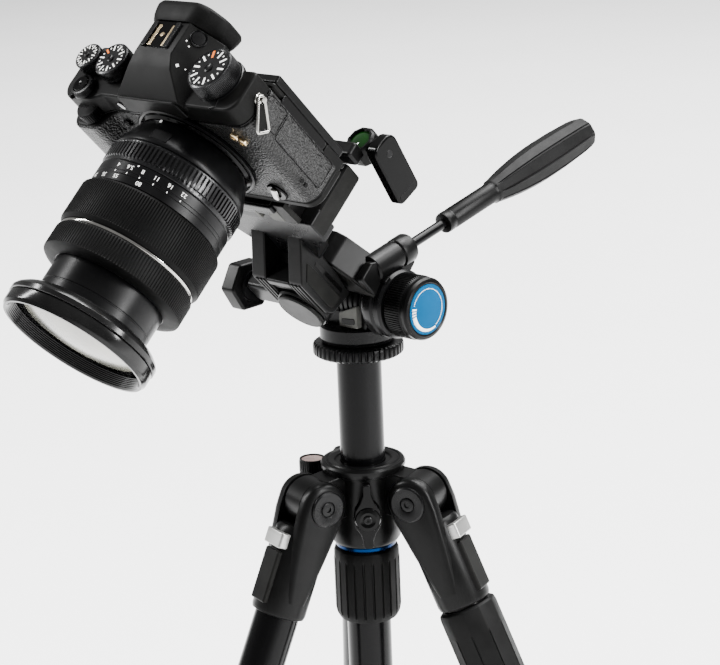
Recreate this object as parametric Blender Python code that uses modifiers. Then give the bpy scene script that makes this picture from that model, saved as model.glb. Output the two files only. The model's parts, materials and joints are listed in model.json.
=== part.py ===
"""Mirrorless camera with a zoom lens on a three-way head and a twist-lock tripod.

Units are metres, +Z is up, and the origin is on the floor under the centre column.
The lens looks along -Y and down. The camera's left side and the tilt knob are on +X.
"""
import math

import bmesh
import bpy
from mathutils import Matrix, Vector

MM = 0.001
GAP = 0.3 * MM                      # air between two touching pieces
FACETS = 24                         # sides of a round piece
FINE_FACETS = 32                    # sides of a large round piece

# Legs
LEG_AZIMUTH = math.radians(258.0)   # direction of the leg under the lens
LEG_SPLAY = math.radians(23.5)      # each leg's angle from the vertical
LEG_LENGTH = 392.0 * MM             # hinge to the sole of the foot, sections retracted
HINGE_RADIUS = 36.0 * MM            # column axis to a leg's hinge
HINGE_BARREL_RADIUS = 13.9 * MM
HINGE_BARREL_HALF = 8.7 * MM
CHEEK_RADIUS = 14.5 * MM
CHEEK_THICKNESS = 7.5 * MM
CASTING_RADIUS = 16.0 * MM
CASTING_TOP = 16.0 * MM             # below the hinge
CASTING_BOTTOM = 68.0 * MM
UPPER_TUBE_RADIUS = 13.0 * MM
UPPER_TUBE_END = 300.0 * MM
TUBE_WALL = 1.3 * MM
LOWER_TUBE_RADIUS = 11.3 * MM
LOWER_TUBE_TOP = 90.0 * MM
LOCK_RADIUS = 17.0 * MM
LOCK_LENGTH = 42.0 * MM
FOOT_RADIUS = 14.0 * MM
FOOT_SOCKET = 14.0 * MM             # how far the tube goes into the foot
SLEEVED_LEG = 1                     # the leg with the rubber sleeve, counted from 0
GRIP_SLEEVE_RADIUS = 17.5 * MM
GRIP_SLEEVE_TOP = 69.0 * MM           # below the hinge of the leg that has the sleeve
GRIP_SLEEVE_LENGTH = 150.0 * MM
TAB_SIZE = Vector((5.0, 17.0, 9.0)) * MM

# Spider and centre column
COLUMN_RADIUS = 13.0 * MM
COLUMN_LENGTH = 270.0 * MM
COLUMN_WALL = 1.5 * MM
PLATE_RADIUS = 26.2 * MM
PLATE_HEIGHT = 8.0 * MM
SPIDER_RADIUS = 20.0 * MM
SPIDER_TOP_DEPTH = 63.6 * MM        # spider's top below the column plate
SPIDER_HEIGHT = 49.5 * MM
SPIDER_RIM_RADIUS = 24.8 * MM
SPIDER_RIM_HEIGHT = 6.0 * MM
HINGE_DEPTH = 82.8 * MM             # leg hinges below the column plate
LEVEL_RADIUS = 8.0 * MM
LEVEL_HEIGHT = 9.0 * MM
LEVEL_ORBIT = 33.6 * MM
LEVEL_DROP = 4.5 * MM               # level's top below the spider's top
COLLAR_RADIUS = 19.5 * MM
COLLAR_LENGTH = 44.0 * MM
RING_RADIUS = 17.8 * MM
RING_HEIGHT = 3.6 * MM
WING_LENGTH = 39.0 * MM
WING_OFFSET = -1.5 * MM             # wing's middle from the lever's axis, along the wing
LEVER_DROP = 8.4 * MM               # lever's axis below the leg hinges
WING_WIDTH = 16.0 * MM
WING_THICKNESS = 7.0 * MM

# Three-way head
TILT = math.radians(43.5)           # lens axis below the horizontal at rest
TILT_AXIS_HEIGHT = 34.5 * MM        # above the column plate's underside
PAN_BASE_RADIUS = 21.8 * MM
PAN_BASE_HEIGHT = 10.7 * MM
TILT_BARREL_RADIUS = 14.0 * MM
TILT_BARREL_HALF = 22.2 * MM
TILT_SHAFT_RADIUS = 6.0 * MM
TILT_HUB_RADIUS = 20.0 * MM
TILT_HUB_WIDTH = 15.0 * MM
TILT_KNOB_RADIUS = 18.2 * MM
TILT_KNOB_WIDTH = 18.0 * MM
PAN_KNOB_PLACE = Vector((-30.0, 33.5, 0.0)) * MM
PAN_KNOB_RADIUS = 13.0 * MM
PAN_KNOB_HEIGHT = 13.0 * MM
ROLL_HEIGHT = 30.0 * MM             # side-tilt axis above the tilt axis
ROLL_SHAFT_RADIUS = 10.0 * MM
ROLL_RING_RADIUS = 16.0 * MM
ROLL_RING_FRONT = 31.0 * MM
ROLL_RING_BACK = 9.0 * MM
ROLL_BOSS_RADIUS = 14.6 * MM
ROLL_BOSS_LENGTH = 23.0 * MM
ROLL_CAP_RADIUS = 14.5 * MM
ROLL_CAP_THICKNESS = 2.0 * MM
PLATFORM_BOTTOM = 76.0 * MM         # above the tilt axis
PLATFORM_TOP = 92.0 * MM
PLATFORM_HALF_WIDTH = 40.0 * MM
PLATFORM_FRONT = 11.6 * MM
PLATFORM_BACK = 30.0 * MM
ARM_INNER = 9.0 * MM
ARM_OUTER = 20.0 * MM
HEX_KNOB_PLACE = Vector((-39.0, -25.0, 35.0)) * MM
HEX_KNOB_RADIUS = 16.0 * MM
HEX_KNOB_WIDTH = 13.0 * MM
CLAMP_HALF_WIDTH = 30.0 * MM
CLAMP_THICKNESS = 6.7 * MM
JAW_HEIGHT = 5.5 * MM
JAW_WIDTH = 9.0 * MM
CLAMP_FRONT = 14.0 * MM
CLAMP_BACK = 40.0 * MM
VIAL_PLACE = Vector((38.0, 45.0, 80.0)) * MM
VIAL_RADIUS = 9.5 * MM
VIAL_HEIGHT = 13.0 * MM
CLAMP_LEVER_PIVOT = Vector((48.0, 44.0, 84.0)) * MM
CLAMP_LEVER_LENGTH = 39.0 * MM
CLAMP_LEVER_WIDTH = 18.0 * MM
CLAMP_LEVER_THICKNESS = 7.5 * MM
CLAMP_LEVER_LEAN = math.radians(12.0)
CAMERA_PLATE_THICKNESS = 6.0 * MM
CAMERA_PLATE_HALF = 26.0 * MM
CAMERA_PLATE_DEPTH = 46.0 * MM
SCREW_RADIUS = 3.1 * MM
SCREW_HEAD_RADIUS = 8.0 * MM
SCREW_Y = 24.2 * MM                 # behind the lens flange

# Pan handle
HANDLE_X = 27.0 * MM
HANDLE_DROP = math.radians(29.0)    # below the lens axis, pointing back
HANDLE_OFFSET = 24.0 * MM           # handle axis from the tilt axis
SOCKET_RADIUS = 8.6 * MM
SOCKET_START = -10.0 * MM
SOCKET_END = 22.5 * MM
ROD_RADIUS = 3.0 * MM
ROD_INSET = 14.0 * MM
SLEEVE_START = 53.0 * MM
SLEEVE_RADIUS = 6.2 * MM
GRIP_START = 96.0 * MM
GRIP_END = 187.0 * MM
GRIP_RADIUS = 11.8 * MM

# Camera body, from the centre of the lens flange: x to its left, y to its back, z up
CAMERA_SIDE_OFFSET = 2.4 * MM
CAMERA_LENS_ADVANCE = 17.2 * MM     # flange in front of the tilt axis
BODY_LEFT = 59.6 * MM
BODY_WIDTH = 133.5 * MM
BODY_BOTTOM = -41.0 * MM
BODY_TOP = 40.5 * MM
BODY_FRONT = 4.5 * MM
BODY_BACK = 30.0 * MM
BODY_WALL = 3.5 * MM
TOP_PLATE_HEIGHT = 13.0 * MM
PORT_DOOR_TOP = 9.0 * MM
REAR_COVER_THICKNESS = 3.4 * MM
MONITOR_THICKNESS = 5.4 * MM
MONITOR_WIDTH = 92.0 * MM
MONITOR_HEIGHT = 62.0 * MM
HUMP_X = -3.0 * MM
HUMP_HEIGHT = 15.0 * MM
HUMP_TOP_HALF = 12.0 * MM
HUMP_BASE_HALF = 27.0 * MM
EYECUP_DEPTH = 22.5 * MM
EYECUP_HALF_WIDTH = 26.0 * MM
EYECUP_HEIGHT = 30.0 * MM
SENSOR_DISTANCE = 17.7 * MM
MOUNT_RING_RADIUS = 35.0 * MM
THROAT_RADIUS = 22.0 * MM
GRIP_BULGE = 12.5 * MM
STRAP_PEG_RADIUS = 0.9 * MM
STRAP_PEG_HEIGHT = 30.5 * MM
STRAP_LEFT_Y = 20.2 * MM
STRAP_RIGHT_Y = 15.5 * MM
STRAP_RING_LENGTH = 17.0 * MM

# Lens, from the flange forwards
LENS_BASE_RADIUS = 31.0 * MM
LENS_BAND_RADIUS = 38.0 * MM
LENS_CORE_RADIUS = 35.2 * MM
APERTURE_RING = (17.0 * MM, 30.0 * MM)
APERTURE_RING_RADIUS = 38.6 * MM
ZOOM_RING = (43.0 * MM, 67.5 * MM)
ZOOM_RING_RADIUS = 40.5 * MM
FOCUS_RING = (69.3 * MM, 85.0 * MM)
FOCUS_RING_RADIUS = 40.0 * MM
CHAMFER = 2.3 * MM
INNER_BARREL_RADIUS = 31.0 * MM
INNER_BARREL_WALL = 2.2 * MM
INNER_BARREL = (48.0 * MM, 104.0 * MM)
FRONT_RING = (104.3 * MM, 112.0 * MM)
FRONT_RING_RADIUS = 42.0 * MM
FILTER_RING = (112.3 * MM, 120.0 * MM)
FILTER_RING_RADIUS = 41.5 * MM
GLASS_THICKNESS = 7.0 * MM

# Derived heights, from the floor
HINGE_HEIGHT = LEG_LENGTH * math.cos(LEG_SPLAY)
PLATE_BASE = HINGE_HEIGHT + HINGE_DEPTH
SPIDER_TOP = PLATE_BASE - SPIDER_TOP_DEPTH
SPIDER_BOTTOM = SPIDER_TOP - SPIDER_HEIGHT
PAN_BASE = PLATE_BASE + PLATE_HEIGHT + GAP
TILT_HEIGHT = PLATE_BASE + TILT_AXIS_HEIGHT
CLAMP_BOTTOM = PLATFORM_TOP + GAP
CLAMP_TOP = CLAMP_BOTTOM + CLAMP_THICKNESS
JAW_TOP = CLAMP_TOP + JAW_HEIGHT
CAMERA_PLATE_BOTTOM = JAW_TOP + GAP
CAMERA_PLATE_TOP = CAMERA_PLATE_BOTTOM + CAMERA_PLATE_THICKNESS
CAMERA_HEIGHT = CAMERA_PLATE_TOP + GAP - BODY_BOTTOM
SCREW_PLACE = Vector((CAMERA_SIDE_OFFSET, SCREW_Y - CAMERA_LENS_ADVANCE, 0.0))
BODY_RIGHT = BODY_LEFT - BODY_WIDTH
SHELL_TOP = BODY_TOP - TOP_PLATE_HEIGHT
MONITOR_BACK = BODY_BACK + REAR_COVER_THICKNESS + 2 * GAP + MONITOR_THICKNESS

for leftover in list(bpy.data.objects):
    bpy.data.objects.remove(leftover)

parts = bpy.data.collections.new("camera_on_tripod")
tools = bpy.data.collections.new("cutters")
for group in (parts, tools):
    bpy.context.scene.collection.children.link(group)

# name: colour, roughness, metallic
FINISHES = {
    "black_metal": ((0.012, 0.012, 0.013), 0.42, 0.6),
    "black_plastic": ((0.015, 0.015, 0.016), 0.5, 0.0),
    "black_rubber": ((0.02, 0.02, 0.02), 0.8, 0.0),
    "leather": ((0.018, 0.018, 0.018), 0.6, 0.0),
    "steel": ((0.6, 0.6, 0.6), 0.3, 1.0),
    "silver": ((0.75, 0.75, 0.75), 0.35, 0.9),
    "blue": ((0.0, 0.3, 0.68), 0.35, 0.1),
    "blue_metal": ((0.01, 0.08, 0.3), 0.3, 0.8),
    "glass": ((0.5, 0.55, 0.52), 0.05, 0.0),
    "battery_grey": ((0.08, 0.08, 0.09), 0.5, 0.0),
}


def finish(name):
    """The named material, made the first time that it is asked for."""
    if name not in bpy.data.materials:
        colour, roughness, metallic = FINISHES[name]
        made = bpy.data.materials.new(name)
        made.use_nodes = True
        shader = made.node_tree.nodes["Principled BSDF"]
        shader.inputs["Base Color"].default_value = (*colour, 1.0)
        shader.inputs["Roughness"].default_value = roughness
        shader.inputs["Metallic"].default_value = metallic
    return bpy.data.materials[name]


def add(name, mesh, parent=None, place=None, surface=None):
    """Put a mesh in the scene: a part if it has a surface, otherwise a Boolean operand."""
    made = bpy.data.objects.new(name, mesh)
    made.parent = parent
    made.matrix_local = place if place is not None else Matrix()
    if surface is None:
        tools.objects.link(made)
        made.hide_render = True
        made.display_type = "WIRE"
    else:
        parts.objects.link(made)
        mesh.materials.append(finish(surface))
        mesh.shade_smooth()
        mesh.set_sharp_from_angle(angle=math.radians(35))
    return made


def frame(name, place, parent=None):
    """An empty that carries pieces."""
    made = bpy.data.objects.new(name, None)
    parts.objects.link(made)
    made.parent = parent
    made.matrix_local = place
    return made


def at(x=0.0, y=0.0, z=0.0):
    return Matrix.Translation((x, y, z))


def turn(angle, axis):
    return Matrix.Rotation(angle, 4, axis)


TO_X = turn(math.radians(90), "Y")      # a piece's own Z axis points along +X
TO_FRONT = turn(math.radians(90), "X")  # a piece's own Z axis points along -Y


def block(size, centre=(0.0, 0.0, 0.0)):
    """A box mesh."""
    mesh = bpy.data.meshes.new("block")
    shape = bmesh.new()
    bmesh.ops.create_cube(shape, size=1.0, matrix=Matrix.Translation(centre) @ Matrix.Diagonal((*size, 1.0)))
    shape.to_mesh(mesh)
    shape.free()
    return mesh


def span(low, high):
    """A box mesh between two corners."""
    low, high = Vector(low), Vector(high)
    return block(high - low, (low + high) / 2)


def cylinder(radius, low, high, facets=FACETS, tip=None):
    """A cylinder or cone mesh along Z, between two heights."""
    mesh = bpy.data.meshes.new("cylinder")
    shape = bmesh.new()
    bmesh.ops.create_cone(
        shape, cap_ends=True, segments=facets, radius1=radius,
        radius2=radius if tip is None else tip, depth=high - low,
        matrix=at(z=(low + high) / 2))
    shape.to_mesh(mesh)
    shape.free()
    return mesh


def profile(points, closed):
    """A chain of edges in the XZ plane, for a Screw modifier."""
    mesh = bpy.data.meshes.new("profile")
    count = len(points)
    edges = [(n, n + 1) for n in range(count - 1)]
    if closed:
        edges.append((count - 1, 0))
    mesh.from_pydata([(r, 0.0, z) for r, z in points], edges, [])
    return mesh


def turned(name, points, parent, place, surface, closed=False, facets=FACETS):
    """A turned piece. Points (radius, z) run down its outer side; closed makes a ring."""
    made = add(name, profile(points, closed), parent, place, surface)
    screw = made.modifiers.new("turn", "SCREW")
    screw.steps = facets
    screw.render_steps = facets
    screw.use_merge_vertices = True
    screw.merge_threshold = 0.00001
    screw.use_smooth_shade = True
    return made


def ring(name, inner, outer, low, high, parent, place, surface, chamfer=0.0, facets=FACETS):
    """A ring along Z between two heights, with chamfered outer edges."""
    outline = [(outer - chamfer, high), (outer, high - chamfer), (outer, low + chamfer),
               (outer - chamfer, low), (inner, low), (inner, high)]
    if chamfer == 0.0:
        outline = [(outer, high), (outer, low), (inner, low), (inner, high)]
    return turned(name, outline, parent, place, surface, closed=True, facets=facets)


def disc(name, radius, low, high, parent, place, surface, chamfer=0.0, facets=FACETS):
    """A solid disc along Z between two heights, with chamfered edges."""
    outline = [(0.0, high), (radius - chamfer, high), (radius, high - chamfer),
               (radius, low + chamfer), (radius - chamfer, low), (0.0, low)]
    if chamfer == 0.0:
        outline = [(0.0, high), (radius, high), (radius, low), (0.0, low)]
    return turned(name, outline, parent, place, surface, facets=facets)


def prism(points, low, high):
    """A flat outline in XY, extruded along Z between two heights."""
    curve = bpy.data.curves.new("outline", "CURVE")
    curve.dimensions = "2D"
    curve.fill_mode = "BOTH"
    curve.extrude = (high - low) / 2
    line = curve.splines.new("POLY")
    line.points.add(len(points) - 1)
    for point, (x, y) in zip(line.points, points):
        point.co = (x, y, 0.0, 1.0)
    line.use_cyclic_u = True
    drawn = bpy.data.objects.new("outline", curve)
    bpy.context.scene.collection.objects.link(drawn)
    seen = drawn.evaluated_get(bpy.context.evaluated_depsgraph_get())
    mesh = bpy.data.meshes.new_from_object(seen)
    bpy.data.objects.remove(drawn)
    shape = bmesh.new()
    shape.from_mesh(mesh)
    bmesh.ops.remove_doubles(shape, verts=shape.verts, dist=0.00001)
    bmesh.ops.translate(shape, verts=shape.verts, vec=(0.0, 0.0, (low + high) / 2))
    bmesh.ops.recalc_face_normals(shape, faces=shape.faces)
    if shape.calc_volume(signed=True) < 0.0:
        bmesh.ops.reverse_faces(shape, faces=shape.faces)
    shape.to_mesh(mesh)
    shape.free()
    return mesh


def side_prism(points, left, right):
    """An outline in YZ, extruded along X from left to right."""
    mesh = prism(points, left, right)
    mesh.transform(Matrix(((0, 0, 1, 0), (1, 0, 0, 0), (0, 1, 0, 0), (0, 0, 0, 1))))
    return mesh


def bevel(piece, width, segments=2):
    made = piece.modifiers.new("bevel", "BEVEL")
    made.width = width
    made.segments = segments
    made.limit_method = "ANGLE"
    made.angle_limit = math.radians(40)
    return piece


def combine(piece, meshes, operation, place=None):
    """Join meshes to a piece, or cut them from it. They stand in the piece's own frame."""
    for mesh in meshes:
        other = add(piece.name + "_" + operation.lower(), mesh, piece, place)
        made = piece.modifiers.new(operation.lower(), "BOOLEAN")
        made.operation = operation
        made.solver = "EXACT"
        made.object = other
    return piece


def rounded(points, radius, steps=3):
    """The outline with each corner replaced by an arc."""
    result = []
    count = len(points)
    for n, corner in enumerate(points):
        here = Vector(corner)
        before = (Vector(points[n - 1]) - here)
        after = (Vector(points[(n + 1) % count]) - here)
        half = before.angle(after) / 2
        reach = min(radius / math.tan(half), 0.45 * before.length, 0.45 * after.length)
        bend = reach * math.tan(half)
        middle = here + (before.normalized() + after.normalized()).normalized() * bend / math.sin(half)
        first = here + before.normalized() * reach - middle
        swing = first.angle_signed(here + after.normalized() * reach - middle)
        for k in range(steps + 1):
            result.append(tuple(middle + Matrix.Rotation(-swing * k / steps, 2) @ first))
    return result


# ---------------------------------------------------------------- tripod

def leg_frame(number):
    azimuth = LEG_AZIMUTH + number * math.radians(120)
    hinge = at(HINGE_RADIUS * math.cos(azimuth), HINGE_RADIUS * math.sin(azimuth), HINGE_HEIGHT)
    return frame(f"leg_{number + 1}_hinge", hinge @ turn(azimuth, "Z") @ turn(-LEG_SPLAY, "Y"))


def cheek_outline():
    """The side of a leg's yoke, in its own radial and axial directions: round at the hinge."""
    steps = 12
    arc = [(CHEEK_RADIUS * math.cos(math.pi * k / steps), CHEEK_RADIUS * math.sin(math.pi * k / steps))
           for k in range(steps + 1)]
    return arc + [(-CHEEK_RADIUS, -CASTING_TOP - CHEEK_THICKNESS), (CHEEK_RADIUS, -CASTING_TOP - CHEEK_THICKNESS)]


def make_leg(number):
    name = f"leg_{number + 1}"
    hinge = leg_frame(number)
    cheek_start = HINGE_BARREL_HALF + GAP
    to_side = Matrix(((1, 0, 0, 0), (0, 0, 1, 0), (0, 1, 0, 0), (0, 0, 0, 1)))
    upper = disc(name + "_upper", UPPER_TUBE_RADIUS, -UPPER_TUBE_END, -CASTING_TOP - 4 * MM,
                 hinge, Matrix(), "black_metal", facets=FACETS)
    cheeks = []
    for side in (-1, 1):
        low, high = sorted((side * cheek_start, side * (cheek_start + CHEEK_THICKNESS)))
        cheek = prism(cheek_outline(), low, high)
        cheek.transform(to_side)
        cheek.flip_normals()
        cheeks.append(cheek)
    combine(upper, [cylinder(CASTING_RADIUS, -CASTING_BOTTOM, -CASTING_TOP)] + cheeks, "UNION")
    bore = cylinder(LOWER_TUBE_RADIUS + GAP, -UPPER_TUBE_END - 1 * MM, -LOWER_TUBE_TOP + 6 * MM)
    tab_slot = span((CASTING_RADIUS - TAB_SIZE.x - GAP, -TAB_SIZE.y / 2 - GAP, -CASTING_TOP - 4 * MM - TAB_SIZE.z - GAP),
                    (CASTING_RADIUS + TAB_SIZE.x, TAB_SIZE.y / 2 + GAP, -CASTING_TOP + CHEEK_RADIUS))
    combine(upper, [bore, tab_slot], "DIFFERENCE")

    tab = add(name + "_angle_tab", span((0.0, -TAB_SIZE.y / 2, -TAB_SIZE.z), (TAB_SIZE.x + 3 * MM, TAB_SIZE.y / 2, 0.0)),
              hinge, at(CASTING_RADIUS - TAB_SIZE.x, 0.0, -CASTING_TOP - 4 * MM), "silver")
    bevel(tab, 0.8 * MM, 1)

    if number == SLEEVED_LEG:
        ring(name + "_grip", UPPER_TUBE_RADIUS + GAP, GRIP_SLEEVE_RADIUS, -GRIP_SLEEVE_TOP - GRIP_SLEEVE_LENGTH, -GRIP_SLEEVE_TOP,
             hinge, Matrix(), "black_rubber", 1.5 * MM)
    lock_top = -UPPER_TUBE_END + 8 * MM
    ring(name + "_twist_lock", UPPER_TUBE_RADIUS + GAP, LOCK_RADIUS, -LOCK_LENGTH, 0.0,
         hinge, at(z=lock_top), "black_rubber", 1.5 * MM)
    foot_top = lock_top - LOCK_LENGTH - GAP
    tube_end = foot_top - FOOT_SOCKET
    ring(name + "_lower_tube", LOWER_TUBE_RADIUS - TUBE_WALL, LOWER_TUBE_RADIUS, tube_end, -LOWER_TUBE_TOP,
         hinge, Matrix(), "black_metal")

    sole = -LEG_LENGTH - FOOT_RADIUS * math.tan(LEG_SPLAY)
    foot = turned(name + "_foot", [
        (0.0, tube_end - GAP), (LOWER_TUBE_RADIUS + GAP, tube_end - GAP), (LOWER_TUBE_RADIUS + GAP, foot_top),
        (FOOT_RADIUS - 1 * MM, foot_top), (FOOT_RADIUS, foot_top - 3 * MM),
        (FOOT_RADIUS, -LEG_LENGTH + 12 * MM), (FOOT_RADIUS - 2 * MM, sole), (0.0, sole)],
        hinge, Matrix(), "black_rubber")
    floor = block((0.2, 0.2, 0.1), (0.0, 0.0, -0.05))
    combine(foot, [floor], "DIFFERENCE",
            at(z=-LEG_LENGTH) @ turn(LEG_SPLAY, "Y"))


def make_spider():
    body = turned("spider", [
        (0.0, SPIDER_TOP), (SPIDER_RIM_RADIUS, SPIDER_TOP), (SPIDER_RIM_RADIUS, SPIDER_TOP - SPIDER_RIM_HEIGHT),
        (SPIDER_RADIUS, SPIDER_TOP - SPIDER_RIM_HEIGHT), (SPIDER_RADIUS, SPIDER_BOTTOM), (0.0, SPIDER_BOTTOM)],
        None, Matrix(), "black_metal", facets=FINE_FACETS)
    arms = []
    for number in range(3):
        azimuth = LEG_AZIMUTH + number * math.radians(120)
        web = span((SPIDER_RADIUS / 2, -HINGE_BARREL_HALF, HINGE_HEIGHT - HINGE_BARREL_RADIUS * 0.9),
                   (HINGE_RADIUS, HINGE_BARREL_HALF, HINGE_HEIGHT + HINGE_BARREL_RADIUS * 0.98))
        barrel = cylinder(HINGE_BARREL_RADIUS, -HINGE_BARREL_HALF + 0.01 * MM, HINGE_BARREL_HALF - 0.01 * MM)
        barrel.transform(at(HINGE_RADIUS, 0.0, HINGE_HEIGHT) @ TO_FRONT)
        for mesh in (web, barrel):
            mesh.transform(turn(azimuth, "Z"))
            arms.append(mesh)
    level_azimuth = LEG_AZIMUTH - math.radians(60)
    lobe_high = SPIDER_TOP - LEVEL_HEIGHT - LEVEL_DROP
    lobe_low = lobe_high - 7 * MM
    lobe = cylinder(LEVEL_RADIUS + 1.5 * MM, lobe_low, lobe_high)
    lobe.transform(at(LEVEL_ORBIT))
    bridge = span((SPIDER_RADIUS / 2, -LEVEL_RADIUS, lobe_low + 1 * MM), (LEVEL_ORBIT, LEVEL_RADIUS, lobe_high - 1 * MM))
    for mesh in (lobe, bridge):
        mesh.transform(turn(level_azimuth, "Z"))
    combine(body, arms + [bridge, lobe], "UNION")
    combine(body, [cylinder(COLUMN_RADIUS + GAP, SPIDER_BOTTOM - 1 * MM, SPIDER_TOP + 1 * MM, FINE_FACETS)], "DIFFERENCE")
    disc("hub_level", LEVEL_RADIUS, 0.0, LEVEL_HEIGHT, None,
         turn(level_azimuth, "Z") @ at(LEVEL_ORBIT, 0.0, lobe_high + GAP), "black_plastic", 1 * MM)


def make_column_lever():
    """A wing lever on the spider's front, between two legs."""
    azimuth = LEG_AZIMUTH + math.radians(60)
    outward = turn(azimuth, "Z") @ at(SPIDER_RADIUS, 0.0, HINGE_HEIGHT - LEVER_DROP) @ TO_X
    stem = 4 * MM
    lever = add("column_lever", block((WING_LENGTH, WING_WIDTH / 2, WING_THICKNESS), (WING_OFFSET, 0.0, stem + WING_THICKNESS / 2)),
                None, outward, "black_plastic")
    bevel(lever, 1.5 * MM)
    combine(lever, [cylinder(WING_WIDTH / 2, stem - 1 * MM, stem + WING_THICKNESS + 1 * MM),
                    cylinder(WING_WIDTH / 3, GAP, stem + WING_THICKNESS / 2)], "UNION")


def make_column():
    collar_top = SPIDER_BOTTOM - RING_HEIGHT - 2 * GAP
    ring("collar_ring", COLUMN_RADIUS + GAP, RING_RADIUS, SPIDER_BOTTOM - RING_HEIGHT - GAP, SPIDER_BOTTOM - GAP,
         None, Matrix(), "blue_metal", 0.8 * MM, FINE_FACETS)
    ring("column_collar", COLUMN_RADIUS + GAP, COLLAR_RADIUS, -COLLAR_LENGTH, 0.0,
         None, at(z=collar_top), "black_rubber", 2.5 * MM, FINE_FACETS)
    ring("centre_column", COLUMN_RADIUS - COLUMN_WALL, COLUMN_RADIUS, PLATE_BASE - COLUMN_LENGTH, PLATE_BASE - GAP,
         None, Matrix(), "black_metal", facets=FINE_FACETS)
    disc("column_plate", PLATE_RADIUS, PLATE_BASE, PLATE_BASE + PLATE_HEIGHT,
         None, Matrix(), "black_metal", 1 * MM, FINE_FACETS)


# ---------------------------------------------------------------- head

def make_pan_body():
    body = disc("pan_body", PAN_BASE_RADIUS, PAN_BASE, PAN_BASE + PAN_BASE_HEIGHT, None, Matrix(),
                "black_metal", facets=FINE_FACETS)
    barrel = cylinder(TILT_BARREL_RADIUS, -TILT_BARREL_HALF, TILT_BARREL_HALF)
    shaft = cylinder(TILT_SHAFT_RADIUS, 0.0, TILT_BARREL_HALF + TILT_HUB_WIDTH + GAP)
    for mesh in (barrel, shaft):
        mesh.transform(at(z=TILT_HEIGHT) @ TO_X)
    pillar = span((-17 * MM, -11 * MM, PAN_BASE + 5 * MM), (17 * MM, 11 * MM, TILT_HEIGHT))
    knob_base = PAN_BASE + PAN_BASE_HEIGHT - 1 * MM
    boss = cylinder(8 * MM, PAN_BASE + 1 * MM, knob_base + 9 * MM)
    boss.transform(Matrix.Translation(PAN_KNOB_PLACE))
    reach = PAN_KNOB_PLACE.length
    bridge = span((0.0, -6 * MM, PAN_BASE + 2 * MM), (reach, 6 * MM, knob_base))
    bridge.transform(turn(math.atan2(PAN_KNOB_PLACE.y, PAN_KNOB_PLACE.x), "Z"))
    combine(body, [pillar, barrel, shaft, bridge, boss], "UNION")
    disc("pan_knob", PAN_KNOB_RADIUS, 0.0, PAN_KNOB_HEIGHT, None,
         Matrix.Translation(PAN_KNOB_PLACE) @ at(z=knob_base + 9 * MM + GAP), "black_plastic", 1.5 * MM)


def handle_matrix():
    """The handle's own Z axis points from the tilt body to the end of the grip."""
    foot = at(HANDLE_X, HANDLE_OFFSET * math.sin(HANDLE_DROP), HANDLE_OFFSET * math.cos(HANDLE_DROP))
    return foot @ turn(-math.radians(90) - HANDLE_DROP, "X")


def make_tilt_body(tilt):
    hub_start = TILT_BARREL_HALF + GAP
    body = ring("tilt_body", TILT_SHAFT_RADIUS + GAP, TILT_HUB_RADIUS, hub_start, hub_start + TILT_HUB_WIDTH,
                tilt, TO_X, "black_metal", 1 * MM, FINE_FACETS)
    from_x = TO_X.inverted()
    boss = cylinder(ROLL_BOSS_RADIUS, ROLL_RING_BACK - ROLL_BOSS_LENGTH - GAP, ROLL_RING_BACK - GAP)
    shaft = cylinder(ROLL_SHAFT_RADIUS, 0.0, ROLL_RING_FRONT)
    for mesh in (boss, shaft):
        mesh.transform(at(z=ROLL_HEIGHT) @ TO_FRONT)
    top = ROLL_HEIGHT + ROLL_BOSS_RADIUS + 5 * MM
    arm = prism([(-4 * MM, top - 6 * MM), (7 * MM, top), (13 * MM, top), (34 * MM, 15 * MM), (34 * MM, 9.5 * MM),
                 (24 * MM, 9.5 * MM), (24 * MM, 16.5 * MM), (10 * MM, 16.5 * MM), (6 * MM, 20 * MM)],
                -12 * MM, 8 * MM)
    arm.transform(TO_FRONT)
    socket = cylinder(SOCKET_RADIUS, SOCKET_START, SOCKET_END)
    socket.transform(handle_matrix())
    web = span((HANDLE_X - 3 * MM, 9 * MM, 1 * MM), (HANDLE_X + 4 * MM, 27 * MM, 12 * MM))
    others = [arm, boss, shaft, socket, web]
    rod_bore = cylinder(ROD_RADIUS + GAP, SOCKET_END - ROD_INSET - GAP, SOCKET_END + 1 * MM, 16)
    rod_bore.transform(handle_matrix())
    web_clear = cylinder(TILT_BARREL_RADIUS + 1 * MM, 0.0, hub_start - 0.1 * MM)
    web_clear.transform(TO_X)
    for mesh in others + [rod_bore, web_clear]:
        mesh.transform(from_x)
    combine(body, others, "UNION")
    combine(body, [rod_bore, web_clear], "DIFFERENCE")
    disc("side_tilt_cap", ROLL_CAP_RADIUS, ROLL_RING_FRONT + GAP, ROLL_RING_FRONT + GAP + ROLL_CAP_THICKNESS,
         tilt, at(z=ROLL_HEIGHT) @ TO_FRONT, "black_metal", 0.5 * MM)
    knob_start = hub_start + TILT_HUB_WIDTH + GAP
    disc("tilt_knob", TILT_KNOB_RADIUS, 0.0, TILT_KNOB_WIDTH, tilt, at(knob_start) @ TO_X, "blue", 1 * MM)


def make_handle(tilt):
    place = handle_matrix()
    disc("handle_rod", ROD_RADIUS, SOCKET_END - ROD_INSET, GRIP_START + 30 * MM, tilt, place, "black_metal", facets=16)
    turned("handle_grip", [
        (0.0, GRIP_END), (GRIP_RADIUS - 4 * MM, GRIP_END), (GRIP_RADIUS - 2 * MM, GRIP_END - 2 * MM),
        (GRIP_RADIUS, GRIP_START + 50 * MM), (GRIP_RADIUS, GRIP_START + 26 * MM),
        (SLEEVE_RADIUS + 1 * MM, GRIP_START + 1 * MM), (SLEEVE_RADIUS, GRIP_START), (SLEEVE_RADIUS, SLEEVE_START),
        (ROD_RADIUS + GAP, SLEEVE_START), (ROD_RADIUS + GAP, GRIP_START + 30 * MM + GAP),
        (0.0, GRIP_START + 30 * MM + GAP)], tilt, place, "black_rubber")


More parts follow.
